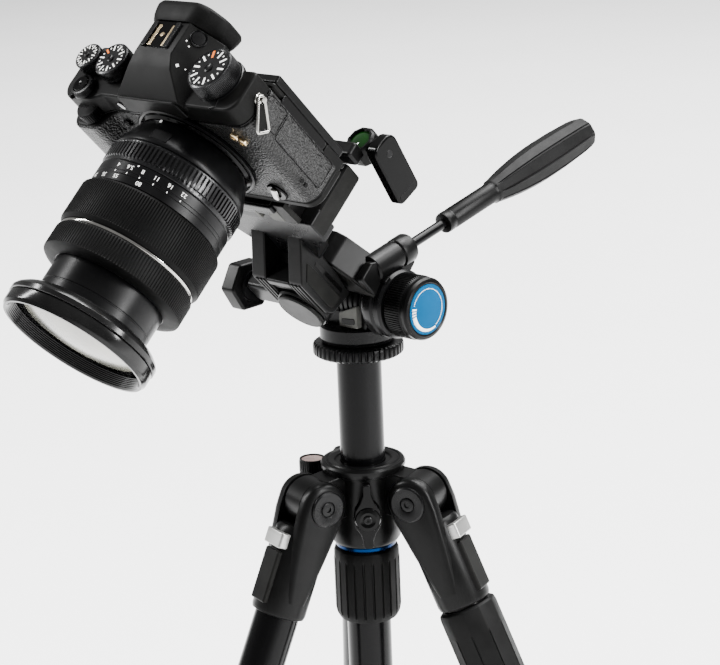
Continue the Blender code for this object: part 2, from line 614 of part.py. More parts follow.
def make_side_tilt(tilt):
    """The bracket that turns on the side-tilt shaft and carries the camera clamp."""
    platform = add("side_tilt_bracket", span((-PLATFORM_HALF_WIDTH, -PLATFORM_FRONT, PLATFORM_BOTTOM),
                                             (PLATFORM_HALF_WIDTH, PLATFORM_BACK, PLATFORM_TOP)),
                   tilt, Matrix(), "black_metal")
    bevel(platform, 3 * MM)
    neck_low = PLATFORM_BOTTOM - ARM_OUTER
    neck = prism([(-PLATFORM_HALF_WIDTH + 1 * MM, PLATFORM_BOTTOM + 6 * MM), (-PLATFORM_HALF_WIDTH + 1 * MM, PLATFORM_BOTTOM),
                  (-ARM_OUTER + 0.1 * MM, neck_low), (ARM_OUTER - 0.1 * MM, neck_low),
                  (PLATFORM_HALF_WIDTH - 1 * MM, PLATFORM_BOTTOM), (PLATFORM_HALF_WIDTH - 1 * MM, PLATFORM_BOTTOM + 6 * MM)],
                 1 * MM, PLATFORM_FRONT - 0.5 * MM)
    neck.transform(TO_FRONT)
    outline = [(-3 * MM, neck_low + 2 * MM), (-9 * MM, PLATFORM_BOTTOM + 2 * MM), (-16 * MM, neck_low + 15 * MM),
               (-ROLL_RING_FRONT + 0.6 * MM, neck_low), (-ROLL_RING_FRONT + 0.6 * MM, ROLL_HEIGHT),
               (-ROLL_RING_FRONT + 3 * MM, ROLL_HEIGHT - 4 * MM), (-11 * MM, ROLL_HEIGHT - 7 * MM),
               (-ROLL_RING_BACK - 0.5 * MM, ROLL_HEIGHT + 8 * MM), (-ROLL_RING_BACK + 0.6 * MM, neck_low - 2 * MM)]
    arms = [side_prism(outline, ARM_INNER, ARM_OUTER), side_prism(outline, -ARM_OUTER, -ARM_INNER)]
    hoop = cylinder(ROLL_RING_RADIUS, ROLL_RING_BACK, ROLL_RING_FRONT, FINE_FACETS)
    hoop.transform(at(z=ROLL_HEIGHT) @ TO_FRONT)
    ear = span((HEX_KNOB_PLACE.x + GAP, -ROLL_RING_FRONT + 1 * MM, ROLL_HEIGHT - 4 * MM),
               (-10 * MM, -ROLL_RING_BACK - 7 * MM, ROLL_HEIGHT + 14 * MM))
    combine(platform, [neck] + arms + [hoop, ear], "UNION")
    bore = cylinder(ROLL_SHAFT_RADIUS + GAP, ROLL_RING_BACK - 1 * MM, ROLL_RING_FRONT + 1 * MM)
    bore.transform(at(z=ROLL_HEIGHT) @ TO_FRONT)
    arch = cylinder(ROLL_BOSS_RADIUS + 1 * MM, -2 * MM, ROLL_RING_BACK - GAP / 2)
    arch.transform(at(z=ROLL_HEIGHT) @ TO_FRONT)
    combine(platform, [bore, arch], "DIFFERENCE")
    disc("side_tilt_knob", HEX_KNOB_RADIUS, 0.0, HEX_KNOB_WIDTH, tilt,
         Matrix.Translation(HEX_KNOB_PLACE) @ turn(math.radians(-90), "Y"), "black_plastic", 1.5 * MM, 6)


def make_clamp(tilt):
    body = add("clamp_body", span((-CLAMP_HALF_WIDTH, -CLAMP_FRONT, CLAMP_BOTTOM), (CLAMP_HALF_WIDTH, CLAMP_BACK, CLAMP_TOP)),
               tilt, Matrix(), "black_metal")
    bevel(body, 1 * MM, 1)
    jaws = []
    for side in (-1, 1):
        low, high = sorted((side * (CLAMP_HALF_WIDTH - 0.5 * MM), side * (CLAMP_HALF_WIDTH - JAW_WIDTH)))
        jaws.append(span((low, -CLAMP_FRONT + 1.5 * MM, CLAMP_TOP - 1 * MM), (high, CLAMP_BACK - 7 * MM, JAW_TOP)))
    rib = span((18 * MM, PLATFORM_BACK + 2 * GAP, VIAL_PLACE.z + 3 * MM),
               (VIAL_PLACE.x, CLAMP_BACK - 1.5 * MM, CLAMP_TOP - 3 * MM))
    cup = cylinder(VIAL_RADIUS, 0.0, VIAL_HEIGHT)
    cup.transform(Matrix.Translation(VIAL_PLACE))
    combine(body, jaws + [rib, cup], "UNION")

    drop = CLAMP_LEVER_LENGTH - CLAMP_LEVER_WIDTH / 2
    half = CLAMP_LEVER_WIDTH / 2
    outline = rounded([(-half, half), (half, half), (half, -drop), (-half, -drop)], 4 * MM)
    lever = add("clamp_lever", side_prism(outline, 0.0, CLAMP_LEVER_THICKNESS), tilt,
                Matrix.Translation(CLAMP_LEVER_PIVOT) @ turn(-CLAMP_LEVER_LEAN, "X"), "black_plastic")
    bevel(lever, 1.2 * MM)

    tongue = CLAMP_HALF_WIDTH - JAW_WIDTH - GAP
    plate = add("camera_plate", span((-CAMERA_PLATE_HALF, -CAMERA_PLATE_DEPTH / 2, CAMERA_PLATE_BOTTOM),
                                     (CAMERA_PLATE_HALF, CAMERA_PLATE_DEPTH / 2, CAMERA_PLATE_TOP)),
                tilt, at(y=SCREW_PLACE.y), "black_metal")
    bevel(plate, 1.5 * MM)
    combine(plate, [span((-tongue, -CAMERA_PLATE_DEPTH / 2 + 2 * MM, CLAMP_TOP + GAP),
                         (tongue, CAMERA_PLATE_DEPTH / 2 - 2 * MM, CAMERA_PLATE_BOTTOM + 1 * MM))], "UNION")
    screw_hole = cylinder(SCREW_RADIUS + GAP, CLAMP_TOP, CAMERA_PLATE_TOP + 1 * MM)
    head_hole = cylinder(SCREW_HEAD_RADIUS + GAP, CLAMP_TOP - 1 * MM, CAMERA_PLATE_BOTTOM)
    combine(plate, [screw_hole, head_hole], "DIFFERENCE", at(CAMERA_SIDE_OFFSET))
    turned("plate_screw", [
        (0.0, CAMERA_PLATE_TOP + GAP + BODY_WALL), (SCREW_RADIUS, CAMERA_PLATE_TOP + GAP + BODY_WALL),
        (SCREW_RADIUS, CAMERA_PLATE_BOTTOM - GAP), (SCREW_HEAD_RADIUS, CAMERA_PLATE_BOTTOM - GAP),
        (SCREW_HEAD_RADIUS, CLAMP_TOP + 1.5 * MM), (0.0, CLAMP_TOP + 1.5 * MM)],
        tilt, Matrix.Translation(SCREW_PLACE), "steel", facets=16)


# ---------------------------------------------------------------- camera

def body_outline(bulge):
    """The body from above, with the hand grip's bulge at the front right."""
    right = BODY_RIGHT
    return rounded([
        (BODY_LEFT, BODY_BACK), (BODY_LEFT, BODY_FRONT), (right + 30 * MM, BODY_FRONT),
        (right + 22 * MM, BODY_FRONT - bulge), (right + 4 * MM, BODY_FRONT - bulge),
        (right, BODY_FRONT + 3 * MM), (right, BODY_BACK)], 7 * MM)


def make_body(camera):
    shell = add("body_shell", prism(body_outline(GRIP_BULGE), BODY_BOTTOM, SHELL_TOP - GAP), camera, Matrix(), "leather")
    bevel(shell, 1.5 * MM)
    mount = cylinder(MOUNT_RING_RADIUS, -BODY_FRONT - 2 * MM, -BODY_FRONT + 2.5 * MM, FINE_FACETS, MOUNT_RING_RADIUS - 1 * MM)
    flange = cylinder(LENS_BASE_RADIUS, -BODY_FRONT - 2 * MM, -GAP, FINE_FACETS)
    above = span((-MOUNT_RING_RADIUS, BODY_FRONT + 0.5 * MM, SHELL_TOP - GAP),
                 (MOUNT_RING_RADIUS, BODY_BACK, BODY_TOP))
    for mesh in (mount, flange):
        mesh.transform(TO_FRONT)
    combine(shell, [mount, flange], "UNION")
    back = BODY_BACK + 1 * MM
    chamber = span((BODY_RIGHT + 30 * MM, BODY_FRONT + BODY_WALL, BODY_BOTTOM + BODY_WALL),
                   (BODY_LEFT - BODY_WALL - 1.5 * MM, back, SHELL_TOP - BODY_WALL))
    battery_bay = span((BODY_RIGHT + 5 * MM, BODY_FRONT - GRIP_BULGE + 6 * MM, BODY_BOTTOM + BODY_WALL),
                       (BODY_RIGHT + 27 * MM, back, SHELL_TOP - BODY_WALL))
    throat = cylinder(THROAT_RADIUS, -BODY_FRONT - BODY_WALL - 1 * MM, 1 * MM)
    throat.transform(TO_FRONT)
    door_seat = span((BODY_LEFT - 1.6 * MM, 12.5 * MM, BODY_BOTTOM + 8.5 * MM),
                     (BODY_LEFT + 1 * MM, BODY_BACK - 2.5 * MM, PORT_DOOR_TOP + GAP))
    socket = cylinder(SCREW_RADIUS + GAP, BODY_BOTTOM - 1 * MM, BODY_BOTTOM + BODY_WALL + 1 * MM, 16)
    socket.transform(at(y=SCREW_Y))
    combine(shell, [above, chamber, battery_bay, throat, door_seat, socket], "DIFFERENCE")

    door = add("port_door", span((-1.3 * MM, -14.4 * MM, BODY_BOTTOM + 8.8 * MM), (0.0, 0.0, PORT_DOOR_TOP)),
               camera, at(BODY_LEFT, BODY_BACK - 2.8 * MM), "leather")
    bevel(door, 0.3 * MM, 1)

    cover = add("rear_cover", span((BODY_RIGHT + 1.5 * MM, 0.0, BODY_BOTTOM), (BODY_LEFT - 1 * MM, REAR_COVER_THICKNESS, SHELL_TOP - GAP)),
                camera, at(y=BODY_BACK + GAP), "black_plastic")
    bevel(cover, 1 * MM, 1)
    monitor = add("monitor", span((-MONITOR_WIDTH, -MONITOR_THICKNESS / 2, -MONITOR_HEIGHT / 2),
                                  (0.0, MONITOR_THICKNESS / 2, MONITOR_HEIGHT / 2)),
                  camera, at(BODY_LEFT - 2 * MM, MONITOR_BACK - MONITOR_THICKNESS / 2, BODY_BOTTOM + 5 * MM + MONITOR_HEIGHT / 2),
                  "black_plastic")
    bevel(monitor, 1.2 * MM)

    add("battery", span((BODY_RIGHT + 5 * MM + GAP, 1 * MM, BODY_BOTTOM + BODY_WALL + GAP),
                        (BODY_RIGHT + 27 * MM - GAP, BODY_BACK - 1 * MM, SHELL_TOP - BODY_WALL - 4 * MM)),
        camera, Matrix(), "battery_grey")
    sensor = add("image_sensor", span((-18 * MM, SENSOR_DISTANCE, -14 * MM), (18 * MM, BODY_BACK, 14 * MM)),
                 camera, Matrix(), "battery_grey")
    bevel(sensor, 1 * MM, 1)


def make_top(camera):
    outline = body_outline(GRIP_BULGE * 0.3)
    top = add("top_plate", prism(outline, SHELL_TOP, BODY_TOP), camera, Matrix(), "black_metal")
    bevel(top, 1.5 * MM)
    ridge = BODY_TOP + HUMP_HEIGHT
    front = BODY_FRONT - 0.5 * MM
    hump = side_prism([(BODY_BACK + REAR_COVER_THICKNESS, SHELL_TOP + 2 * MM), (front, SHELL_TOP + 2 * MM), (front, BODY_TOP + 5 * MM),
                       (front + 15 * MM, ridge), (BODY_BACK + REAR_COVER_THICKNESS + 6 * MM, ridge),
                       (BODY_BACK + REAR_COVER_THICKNESS + 6 * MM, SHELL_TOP + 8 * MM),
                       (BODY_BACK + REAR_COVER_THICKNESS, SHELL_TOP + 8 * MM)],
                      HUMP_X - HUMP_BASE_HALF, HUMP_X + HUMP_BASE_HALF)
    slope = (HUMP_BASE_HALF - HUMP_TOP_HALF)
    cuts = []
    for side in (-1, 1):
        wedge = prism([(HUMP_X + side * HUMP_TOP_HALF, ridge + 0.1 * MM), (HUMP_X + side * (HUMP_BASE_HALF + 1 * MM), BODY_TOP - slope * 0.04),
                       (HUMP_X + side * (HUMP_BASE_HALF + 1 * MM), ridge + 0.1 * MM)], -0.06, 0.01)
        wedge.transform(TO_FRONT)
        cuts.append(wedge)
    body = add("top_plate_hump", hump, top, Matrix())
    combine(body, cuts, "DIFFERENCE")
    union = top.modifiers.new("union", "BOOLEAN")
    union.operation = "UNION"
    union.object = body
    mount_gap = cylinder(MOUNT_RING_RADIUS + GAP, -BODY_FRONT - 0.5 * MM - GAP, 4 * MM, FINE_FACETS)
    mount_gap.transform(TO_FRONT)
    combine(top, [mount_gap], "DIFFERENCE")
    pegs = []
    for side, x, y in ((1, BODY_LEFT, STRAP_LEFT_Y), (-1, BODY_RIGHT, STRAP_RIGHT_Y)):
        peg = cylinder(STRAP_PEG_RADIUS, -3 * MM, 3.4 * MM, 12)
        peg.transform(at(x, y, STRAP_PEG_HEIGHT) @ turn(side * math.radians(90), "Y"))
        pegs.append(peg)
    combine(top, pegs, "UNION")

    cup_y = BODY_BACK + REAR_COVER_THICKNESS + 6 * MM + GAP
    cup_z = SHELL_TOP + 9 * MM
    half = EYECUP_HALF_WIDTH
    outline = rounded([(HUMP_X - half, cup_z - 8 * MM), (HUMP_X + half, cup_z - 8 * MM), (HUMP_X + half, cup_z + 8 * MM),
                       (HUMP_X + half * 0.7, cup_z - 8 * MM + EYECUP_HEIGHT), (HUMP_X - half * 0.7, cup_z - 8 * MM + EYECUP_HEIGHT),
                       (HUMP_X - half, cup_z + 8 * MM)], 6 * MM)
    eyecup = prism(outline, -cup_y - EYECUP_DEPTH + 6 * MM, -cup_y)
    eyecup.transform(TO_FRONT)
    cup = add("eyecup", eyecup, camera, Matrix(), "black_rubber")
    hollow = cylinder(13 * MM, -cup_y - EYECUP_DEPTH, -cup_y - 5 * MM, 24)
    hollow.transform(at(HUMP_X, 0.0, cup_z + 6 * MM) @ TO_FRONT)
    combine(cup, [hollow], "DIFFERENCE")


def make_controls(camera):
    base = BODY_TOP + GAP
    dials = {
        "sensitivity_dial": (BODY_LEFT - 21.4 * MM, 21.5 * MM, 13.0 * MM, 10.5 * MM),
        "shutter_speed_dial": (-41.5 * MM, 22.5 * MM, 10.5 * MM, 8.0 * MM),
        "exposure_dial": (BODY_RIGHT + 13.5 * MM, 22.5 * MM, 8.0 * MM, 9.0 * MM),
    }
    for name, (x, y, radius, height) in dials.items():
        disc(name, radius, 0.0, height, camera, at(x, y, base), "black_metal", 0.8 * MM)
    button = at(BODY_RIGHT + 17.0 * MM, 7.0 * MM, base)
    ring("power_switch", 5.2 * MM, 7.0 * MM, 0.0, 4.0 * MM, camera, button, "black_metal", 0.6 * MM)
    disc("shutter_button", 4.9 * MM, 0.0, 5.0 * MM, camera, button, "steel", 0.8 * MM, 24)


def make_strap_rings(camera):
    """A closed loop of wire on a peg at each side of the body, hanging straight down at rest."""
    top = STRAP_PEG_RADIUS + GAP
    wire = 2 * STRAP_PEG_RADIUS
    long = STRAP_RING_LENGTH
    hole = rounded([(-top, top), (top, top), (2.6 * top, wire - long), (-2.6 * top, wire - long)], 0.8 * MM)
    outline = rounded([(-top - wire / 1.4, top + wire / 1.4), (top + wire / 1.4, top + wire / 1.4),
                       (2.6 * top + wire, -long), (-2.6 * top - wire, -long)], 2 * MM)
    for name, side, x, y in (("strap_ring_left", 1, BODY_LEFT, STRAP_LEFT_Y), ("strap_ring_right", -1, BODY_RIGHT, STRAP_RIGHT_Y)):
        low, high = sorted((side * 2 * GAP, side * (2 * GAP + wire)))
        loop = add(name, side_prism(outline, low, high), camera,
                   at(x, y, STRAP_PEG_HEIGHT) @ turn(-TILT, "X"), "steel")
        combine(loop, [side_prism(hole, low - 1 * MM, high + 1 * MM)], "DIFFERENCE")


# ---------------------------------------------------------------- lens

def make_lens(camera):
    core = LENS_CORE_RADIUS - GAP
    bore = INNER_BARREL_RADIUS + GAP
    turned("lens_barrel", [
        (bore, FOCUS_RING[1] - 2.0 * MM), (core, FOCUS_RING[1] - 2.0 * MM), (core, ZOOM_RING[0] - GAP),
        (LENS_BAND_RADIUS, ZOOM_RING[0] - GAP), (LENS_BAND_RADIUS, APERTURE_RING[1] + GAP), (core, APERTURE_RING[1] + GAP),
        (core, APERTURE_RING[0] - GAP), (LENS_BAND_RADIUS - 0.5 * MM, APERTURE_RING[0] - GAP),
        (LENS_BASE_RADIUS + 2 * MM, 3 * MM), (LENS_BASE_RADIUS, GAP),
        (THROAT_RADIUS, GAP), (THROAT_RADIUS, INNER_BARREL[0] - 22 * MM), (bore, INNER_BARREL[0] - 22 * MM)],
        camera, TO_FRONT, "black_plastic", closed=True, facets=FINE_FACETS)
    inner = LENS_CORE_RADIUS
    ring("aperture_ring", inner, APERTURE_RING_RADIUS, APERTURE_RING[0], APERTURE_RING[1],
         camera, TO_FRONT, "black_metal", 0.5 * MM, FINE_FACETS)
    ring("zoom_ring", inner, ZOOM_RING_RADIUS, ZOOM_RING[0], ZOOM_RING[1],
         camera, TO_FRONT, "black_rubber", CHAMFER / 2, FINE_FACETS)
    lip = INNER_BARREL_RADIUS + 2 * GAP
    turned("focus_ring", [
        (lip, FOCUS_RING[1]), (FOCUS_RING_RADIUS - 3 * CHAMFER, FOCUS_RING[1]), (FOCUS_RING_RADIUS, FOCUS_RING[1] - CHAMFER),
        (FOCUS_RING_RADIUS, FOCUS_RING[0] + 0.8 * MM), (FOCUS_RING_RADIUS - 1.5 * MM, FOCUS_RING[0]), (inner, FOCUS_RING[0]),
        (inner, FOCUS_RING[1] - 1.5 * MM), (lip, FOCUS_RING[1] - 1.5 * MM)],
        camera, TO_FRONT, "black_rubber", closed=True, facets=FINE_FACETS)
    glass_seat = INNER_BARREL[1] - 5 * MM
    inside = INNER_BARREL_RADIUS - INNER_BARREL_WALL
    ring("inner_barrel", inside, INNER_BARREL_RADIUS, INNER_BARREL[0], INNER_BARREL[1],
         camera, TO_FRONT, "black_plastic", facets=FINE_FACETS)
    turned("front_ring", [
        (INNER_BARREL_RADIUS + 2 * MM, FRONT_RING[1]), (FRONT_RING_RADIUS, FRONT_RING[1]), (FRONT_RING_RADIUS, FRONT_RING[0] + 4 * MM),
        (FRONT_RING_RADIUS - 5 * MM, FRONT_RING[0]), (inside, FRONT_RING[0])],
        camera, TO_FRONT, "black_plastic", closed=True, facets=FINE_FACETS)
    turned("filter_ring", [
        (FILTER_RING_RADIUS - 3 * MM, FILTER_RING[1]), (FILTER_RING_RADIUS, FILTER_RING[1]), (FILTER_RING_RADIUS, FILTER_RING[0]),
        (INNER_BARREL_RADIUS + 2 * MM, FILTER_RING[0])],
        camera, TO_FRONT, "black_metal", closed=True, facets=FINE_FACETS)
    edge = inside - GAP
    turned("front_element", [
        (0.0, glass_seat), (edge * 0.5, glass_seat - 1.2 * MM), (edge, glass_seat - 4.5 * MM),
        (edge, glass_seat - 4.5 * MM - GLASS_THICKNESS), (0.0, glass_seat - 4.5 * MM - GLASS_THICKNESS)],
        camera, TO_FRONT, "glass", facets=FINE_FACETS)


for leg_number in range(3):
    make_leg(leg_number)
make_spider()
make_column_lever()
make_column()
make_pan_body()
tilt_frame = frame("tilt_axis", at(z=TILT_HEIGHT) @ turn(TILT, "X"))
make_tilt_body(tilt_frame)
make_handle(tilt_frame)
make_side_tilt(tilt_frame)
make_clamp(tilt_frame)
camera_frame = frame("lens_flange", at(CAMERA_SIDE_OFFSET, -CAMERA_LENS_ADVANCE, CAMERA_HEIGHT), tilt_frame)
make_body(camera_frame)
make_top(camera_frame)
make_controls(camera_frame)
make_strap_rings(camera_frame)
make_lens(camera_frame)
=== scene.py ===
"""The look of the camera, its lens, the three-way head and the tripod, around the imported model.

Lengths are in millimetres in the pieces' own frames and are scaled to metres by MM.
"""
import json
import math

import bmesh
import bpy
from mathutils import Matrix, Vector


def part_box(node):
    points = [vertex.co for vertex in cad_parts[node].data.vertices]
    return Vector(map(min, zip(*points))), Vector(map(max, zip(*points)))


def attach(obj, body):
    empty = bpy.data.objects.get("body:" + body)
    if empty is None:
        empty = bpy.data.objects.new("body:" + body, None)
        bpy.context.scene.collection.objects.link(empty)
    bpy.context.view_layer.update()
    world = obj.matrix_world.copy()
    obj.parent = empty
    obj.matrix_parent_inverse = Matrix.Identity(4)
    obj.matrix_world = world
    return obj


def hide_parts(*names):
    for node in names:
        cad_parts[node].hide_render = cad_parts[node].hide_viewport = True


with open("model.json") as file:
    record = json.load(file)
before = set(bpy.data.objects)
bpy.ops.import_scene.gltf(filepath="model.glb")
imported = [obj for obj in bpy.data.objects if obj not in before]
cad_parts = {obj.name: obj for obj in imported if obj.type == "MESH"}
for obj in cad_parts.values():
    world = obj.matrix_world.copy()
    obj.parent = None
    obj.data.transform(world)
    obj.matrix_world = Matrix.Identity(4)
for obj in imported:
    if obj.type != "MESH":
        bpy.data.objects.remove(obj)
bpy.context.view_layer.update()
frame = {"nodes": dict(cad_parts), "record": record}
nodes = frame["nodes"]
joints = {j["name"]: j for j in frame["record"]["behaviour"]["joints"]}
MM = 0.001
PI = math.pi


# ---------------------------------------------------------------- frames

def at(x=0.0, y=0.0, z=0.0):
    """A shift in millimetres."""
    return Matrix.Translation((x * MM, y * MM, z * MM))


def turn(degrees, axis):
    return Matrix.Rotation(math.radians(degrees), 4, axis)


def joint_place(name):
    return Matrix.Translation(Vector(joints[name]["pos_m"]))


TO_FRONT = turn(90, "X")            # own Z points along -Y
TO_BACK = turn(-90, "X")            # own Z points along +Y
TO_X = turn(90, "Y")                # own Z points along +X
TO_MINUS_X = turn(-90, "Y")         # own Z points along -X
TILT = 43.5
SPLAY = 23.5
LEG_AZIMUTH = 258.0

T = joint_place("tilt") @ turn(TILT, "X")                       # tilt axis
F = joint_place("aperture_turn") @ turn(TILT, "X") @ at(y=17)   # lens flange: x left, y back, z up
LENS = F @ TO_FRONT                                             # own Z runs forwards from the flange
LEGS = [joint_place(f"leg_{n}_spread") @ turn(LEG_AZIMUTH + 120 * (n - 1), "Z") @ turn(-SPLAY, "Y")
    for n in (1, 2, 3)]
HINGE_Z = joints["leg_1_spread"]["pos_m"][2] / MM
PLATE_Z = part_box("column_plate")[0][2] / MM
SPIDER_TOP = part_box("spider")[1][2] / MM
SPIDER_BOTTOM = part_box("spider")[0][2] / MM
TILT_Z = joints["tilt"]["pos_m"][2] / MM


# ---------------------------------------------------------------- materials

def new_material(name):
    made = bpy.data.materials.new(name)
    made.use_nodes = True
    tree = made.node_tree
    return made, tree, tree.nodes["Principled BSDF"]


def node(tree, kind, **settings):
    made = tree.nodes.new(kind)
    for key, value in settings.items():
        setattr(made, key, value)
    return made


def place_of(tree, stretch=(1, 1, 1)):
    """Object coordinates in metres, scaled."""
    coords = node(tree, "ShaderNodeTexCoord")
    mapping = node(tree, "ShaderNodeMapping")
    mapping.inputs["Scale"].default_value = stretch
    tree.links.new(coords.outputs["Object"], mapping.inputs["Vector"])
    return mapping.outputs["Vector"]


def rgba(tone):
    """One number is a neutral tone."""
    return (tone, tone, tone, 1) if isinstance(tone, float) else (*tone, 1)


def ramp(tree, source, low, high, start=0.3, end=0.7):
    made = node(tree, "ShaderNodeValToRGB")
    made.color_ramp.elements[0].position = start
    made.color_ramp.elements[1].position = end
    made.color_ramp.elements[0].color = rgba(low)
    made.color_ramp.elements[1].color = rgba(high)
    tree.links.new(source, made.inputs["Fac"])
    return made.outputs["Color"]


def noise(tree, vector, scale, detail=4.0):
    made = node(tree, "ShaderNodeTexNoise")
    made.inputs["Scale"].default_value = scale
    made.inputs["Detail"].default_value = detail
    made.inputs["Roughness"].default_value = 0.6
    tree.links.new(vector, made.inputs["Vector"])
    return made.outputs["Fac"]


def bump(tree, shader, height, strength, distance):
    made = node(tree, "ShaderNodeBump")
    made.inputs["Strength"].default_value = strength
    made.inputs["Distance"].default_value = distance
    tree.links.new(height, made.inputs["Height"])
    tree.links.new(made.outputs["Normal"], shader.inputs["Normal"])


def finish(name, dark, light, rough=(0.35, 0.5), metallic=0.0, grain=2500.0, depth=0.00002, strength=0.25,
        blotch=60.0, stretch=(1, 1, 1), coat=0.0, specular=0.05):
    """A paint, plastic, rubber or metal: two close tones, uneven gloss and a fine grain."""
    made, tree, shader = new_material(name)
    where = place_of(tree, stretch)
    tone = noise(tree, where, blotch)
    tree.links.new(ramp(tree, tone, dark, light), shader.inputs["Base Color"])
    fine = noise(tree, where, grain, 2.0)
    gloss = ramp(tree, tone, *rough)
    tree.links.new(gloss, shader.inputs["Roughness"])
    shader.inputs["Metallic"].default_value = metallic
    shader.inputs["Specular IOR Level"].default_value = specular
    shader.inputs["Coat Weight"].default_value = coat
    bump(tree, shader, fine, strength, depth)
    return made


def grained(name, dark, light, cell, depth, rough=(0.42, 0.6)):
    """Leather-like wrap: pebbles with creases between them."""
    made, tree, shader = new_material(name)
    where = place_of(tree)
    warp = noise(tree, where, cell * 0.45, 2.0)
    mix = node(tree, "ShaderNodeVectorMath", operation="MULTIPLY_ADD")
    mix.inputs[1].default_value = (0.0009, 0.0009, 0.0009)
    tree.links.new(warp, mix.inputs[0])
    tree.links.new(where, mix.inputs[2])
    cells = node(tree, "ShaderNodeTexVoronoi", feature="SMOOTH_F1")
    cells.inputs["Scale"].default_value = cell
    cells.inputs["Smoothness"].default_value = 0.35
    tree.links.new(mix.outputs["Vector"], cells.inputs["Vector"])
    # The base colour is paler on the pebble tops and darker in the creases between them: painted light on the
    # tops, painted shade in the creases.
    tree.links.new(ramp(tree, cells.outputs["Distance"], light, dark, 0.15, 0.75),
        shader.inputs["Base Color"])
    tree.links.new(ramp(tree, cells.outputs["Distance"], *rough, 0.1, 0.8), shader.inputs["Roughness"])
    flip = node(tree, "ShaderNodeMath", operation="SUBTRACT")
    flip.inputs[0].default_value = 1.0
    tree.links.new(cells.outputs["Distance"], flip.inputs[1])
    shader.inputs["Specular IOR Level"].default_value = 0.2
    bump(tree, shader, flip.outputs["Value"], 0.9, depth)
    return made


def glass(name, dark, light, rough=0.03, coat=1.0):
    """Coated glass over something dark: soft bands of colour, very smooth; pale bands are a painted
    reflection.
    """
    made, tree, shader = new_material(name)
    where = place_of(tree)
    tree.links.new(ramp(tree, noise(tree, where, 24.0, 1.0), dark, light), shader.inputs["Base Color"])
    shader.inputs["Roughness"].default_value = rough
    shader.inputs["Coat Weight"].default_value = coat
    shader.inputs["Coat Roughness"].default_value = 0.02
    shader.inputs["Specular IOR Level"].default_value = 0.9
    return made


METAL = finish("satin_black_metal", (0.0012, 0.0012, 0.0013), (0.0028, 0.0028, 0.003), (0.25, 0.31), 0.0,
    3500, 0.000012, 0.3, specular=0.12)
CAST = finish("black_casting", 0.001, 0.0025, (0.29, 0.35), 0.0, 2200, 0.00003, 0.45, specular=0.09)
TUBE = finish("anodised_tube", (0.0012, 0.0012, 0.0013), (0.0026, 0.0026, 0.0028), (0.16, 0.24), 0.0, 900,
    0.00001, 0.3, stretch=(1, 1, 0.06), specular=0.08)
BODY = finish("camera_paint", 0.0014, (0.003, 0.003, 0.0028), (0.38, 0.5), 0.0, 5200, 0.00002, 0.5,
    specular=0.06)
LENS_PAINT = finish("lens_paint", (0.001, 0.001, 0.0011), (0.0022, 0.0022, 0.0024), (0.28, 0.34), 0.0,
    4200, 0.00001, 0.3, specular=0.1)
RIB_METAL = finish("ribbed_aluminium", (0.005, 0.005, 0.0054), (0.010, 0.010, 0.0104), (0.18, 0.28), 0.5,
    4200, 0.00001, 0.3, specular=0.3)
LENS_GLOSS = finish("lens_gloss", 0.002, 0.005, (0.12, 0.20), 0.1, 1500, 0.000006, 0.2, specular=0.2)
RUBBER = finish("ribbed_rubber", 0.001, (0.0022, 0.0022, 0.0021), (0.46, 0.6), 0.0, 3000, 0.00004, 0.5,
    specular=0.06)
GRIP_RUBBER = finish("handle_rubber", 0.0016, 0.0034, (0.46, 0.6), 0.0, 2600, 0.00004, 0.5, specular=0.08)
PLASTIC = finish("black_moulding", 0.001, 0.0024, (0.26, 0.38), 0.0, 3000, 0.00002, 0.4, specular=0.08)
GLOSS = finish("gloss_black", 0.0006, 0.0015, (0.08, 0.16), 0.0, 800, 0.000004, 0.15, coat=0.02,
    specular=0.07)
PALE_CAST = finish("worn_grey_face", (0.045, 0.045, 0.042), (0.085, 0.085, 0.078), (0.4, 0.55), 0.2, 1800,
    0.00003, 0.4)
GREY_CAST = finish("grey_face", (0.004, 0.004, 0.0038), (0.008, 0.008, 0.0075), (0.36, 0.48), 0.2, 2000,
    0.00003, 0.4)
SILVER = finish("plain_aluminium", (0.30, 0.30, 0.29), (0.42, 0.42, 0.41), (0.3, 0.42), 0.9, 1600,
    0.00001, 0.3, stretch=(1, 0.1, 1))
CHROME = finish("bright_steel", (0.30, 0.295, 0.28), (0.42, 0.41, 0.39), (0.10, 0.2), 1.0, 900, 0.000005,
    0.2)
BRASS = finish("pale_brass", (0.50, 0.38, 0.22), (0.70, 0.56, 0.36), (0.2, 0.32), 1.0, 900, 0.000005, 0.2)
BLUE = finish("blue_label", (0.0, 0.050, 0.125), (0.0, 0.056, 0.14), (0.5, 0.6), 0.0, 1200, 0.000004,
    0.15, specular=0.02)
BLUE_METAL = finish("blue_anodised", (0.0, 0.012, 0.050), (0.001, 0.018, 0.07), (0.2, 0.3), 0.85, 1500,
    0.00001, 0.3)
WHITE = finish("white_ink", (0.72, 0.72, 0.70), (0.82, 0.82, 0.80), (0.45, 0.6), 0.0, 2500, 0.000005, 0.2)
RED_INK = finish("orange_ink", (0.55, 0.12, 0.02), (0.66, 0.17, 0.03), (0.45, 0.6), 0.0, 2500, 0.000005,
    0.2)
BLUEGREY = finish("blue_grey_cap", (0.09, 0.13, 0.18), (0.14, 0.18, 0.24), (0.4, 0.5), 0.0, 2000, 0.00001,
    0.3)
BUBBLE_TOP = finish("level_face", (0.14, 0.10, 0.095), (0.24, 0.18, 0.165), (0.2, 0.32), 0.0, 900,
    0.00001, 0.2, coat=0.4)
GREEN = finish("level_liquid", (0.001, 0.009, 0.001), (0.003, 0.026, 0.003), (0.08, 0.16), 0.0, 600,
    0.000004, 0.1, coat=0.6)
SCREEN = glass("screen_glass", (0.003, 0.003, 0.004), (0.006, 0.006, 0.008))
# front glass: its pale creamy tones are a painted reflection of the bright surroundings, over dark glass
PAINTED_REFLECTION_GLASS = glass("front_glass_painted_reflection", (0.06, 0.06, 0.05), (0.36, 0.35, 0.29), 0.22, coat=0.12)
DEEP_GLASS = glass("finder_glass", (0.004, 0.005, 0.01), (0.012, 0.012, 0.02))
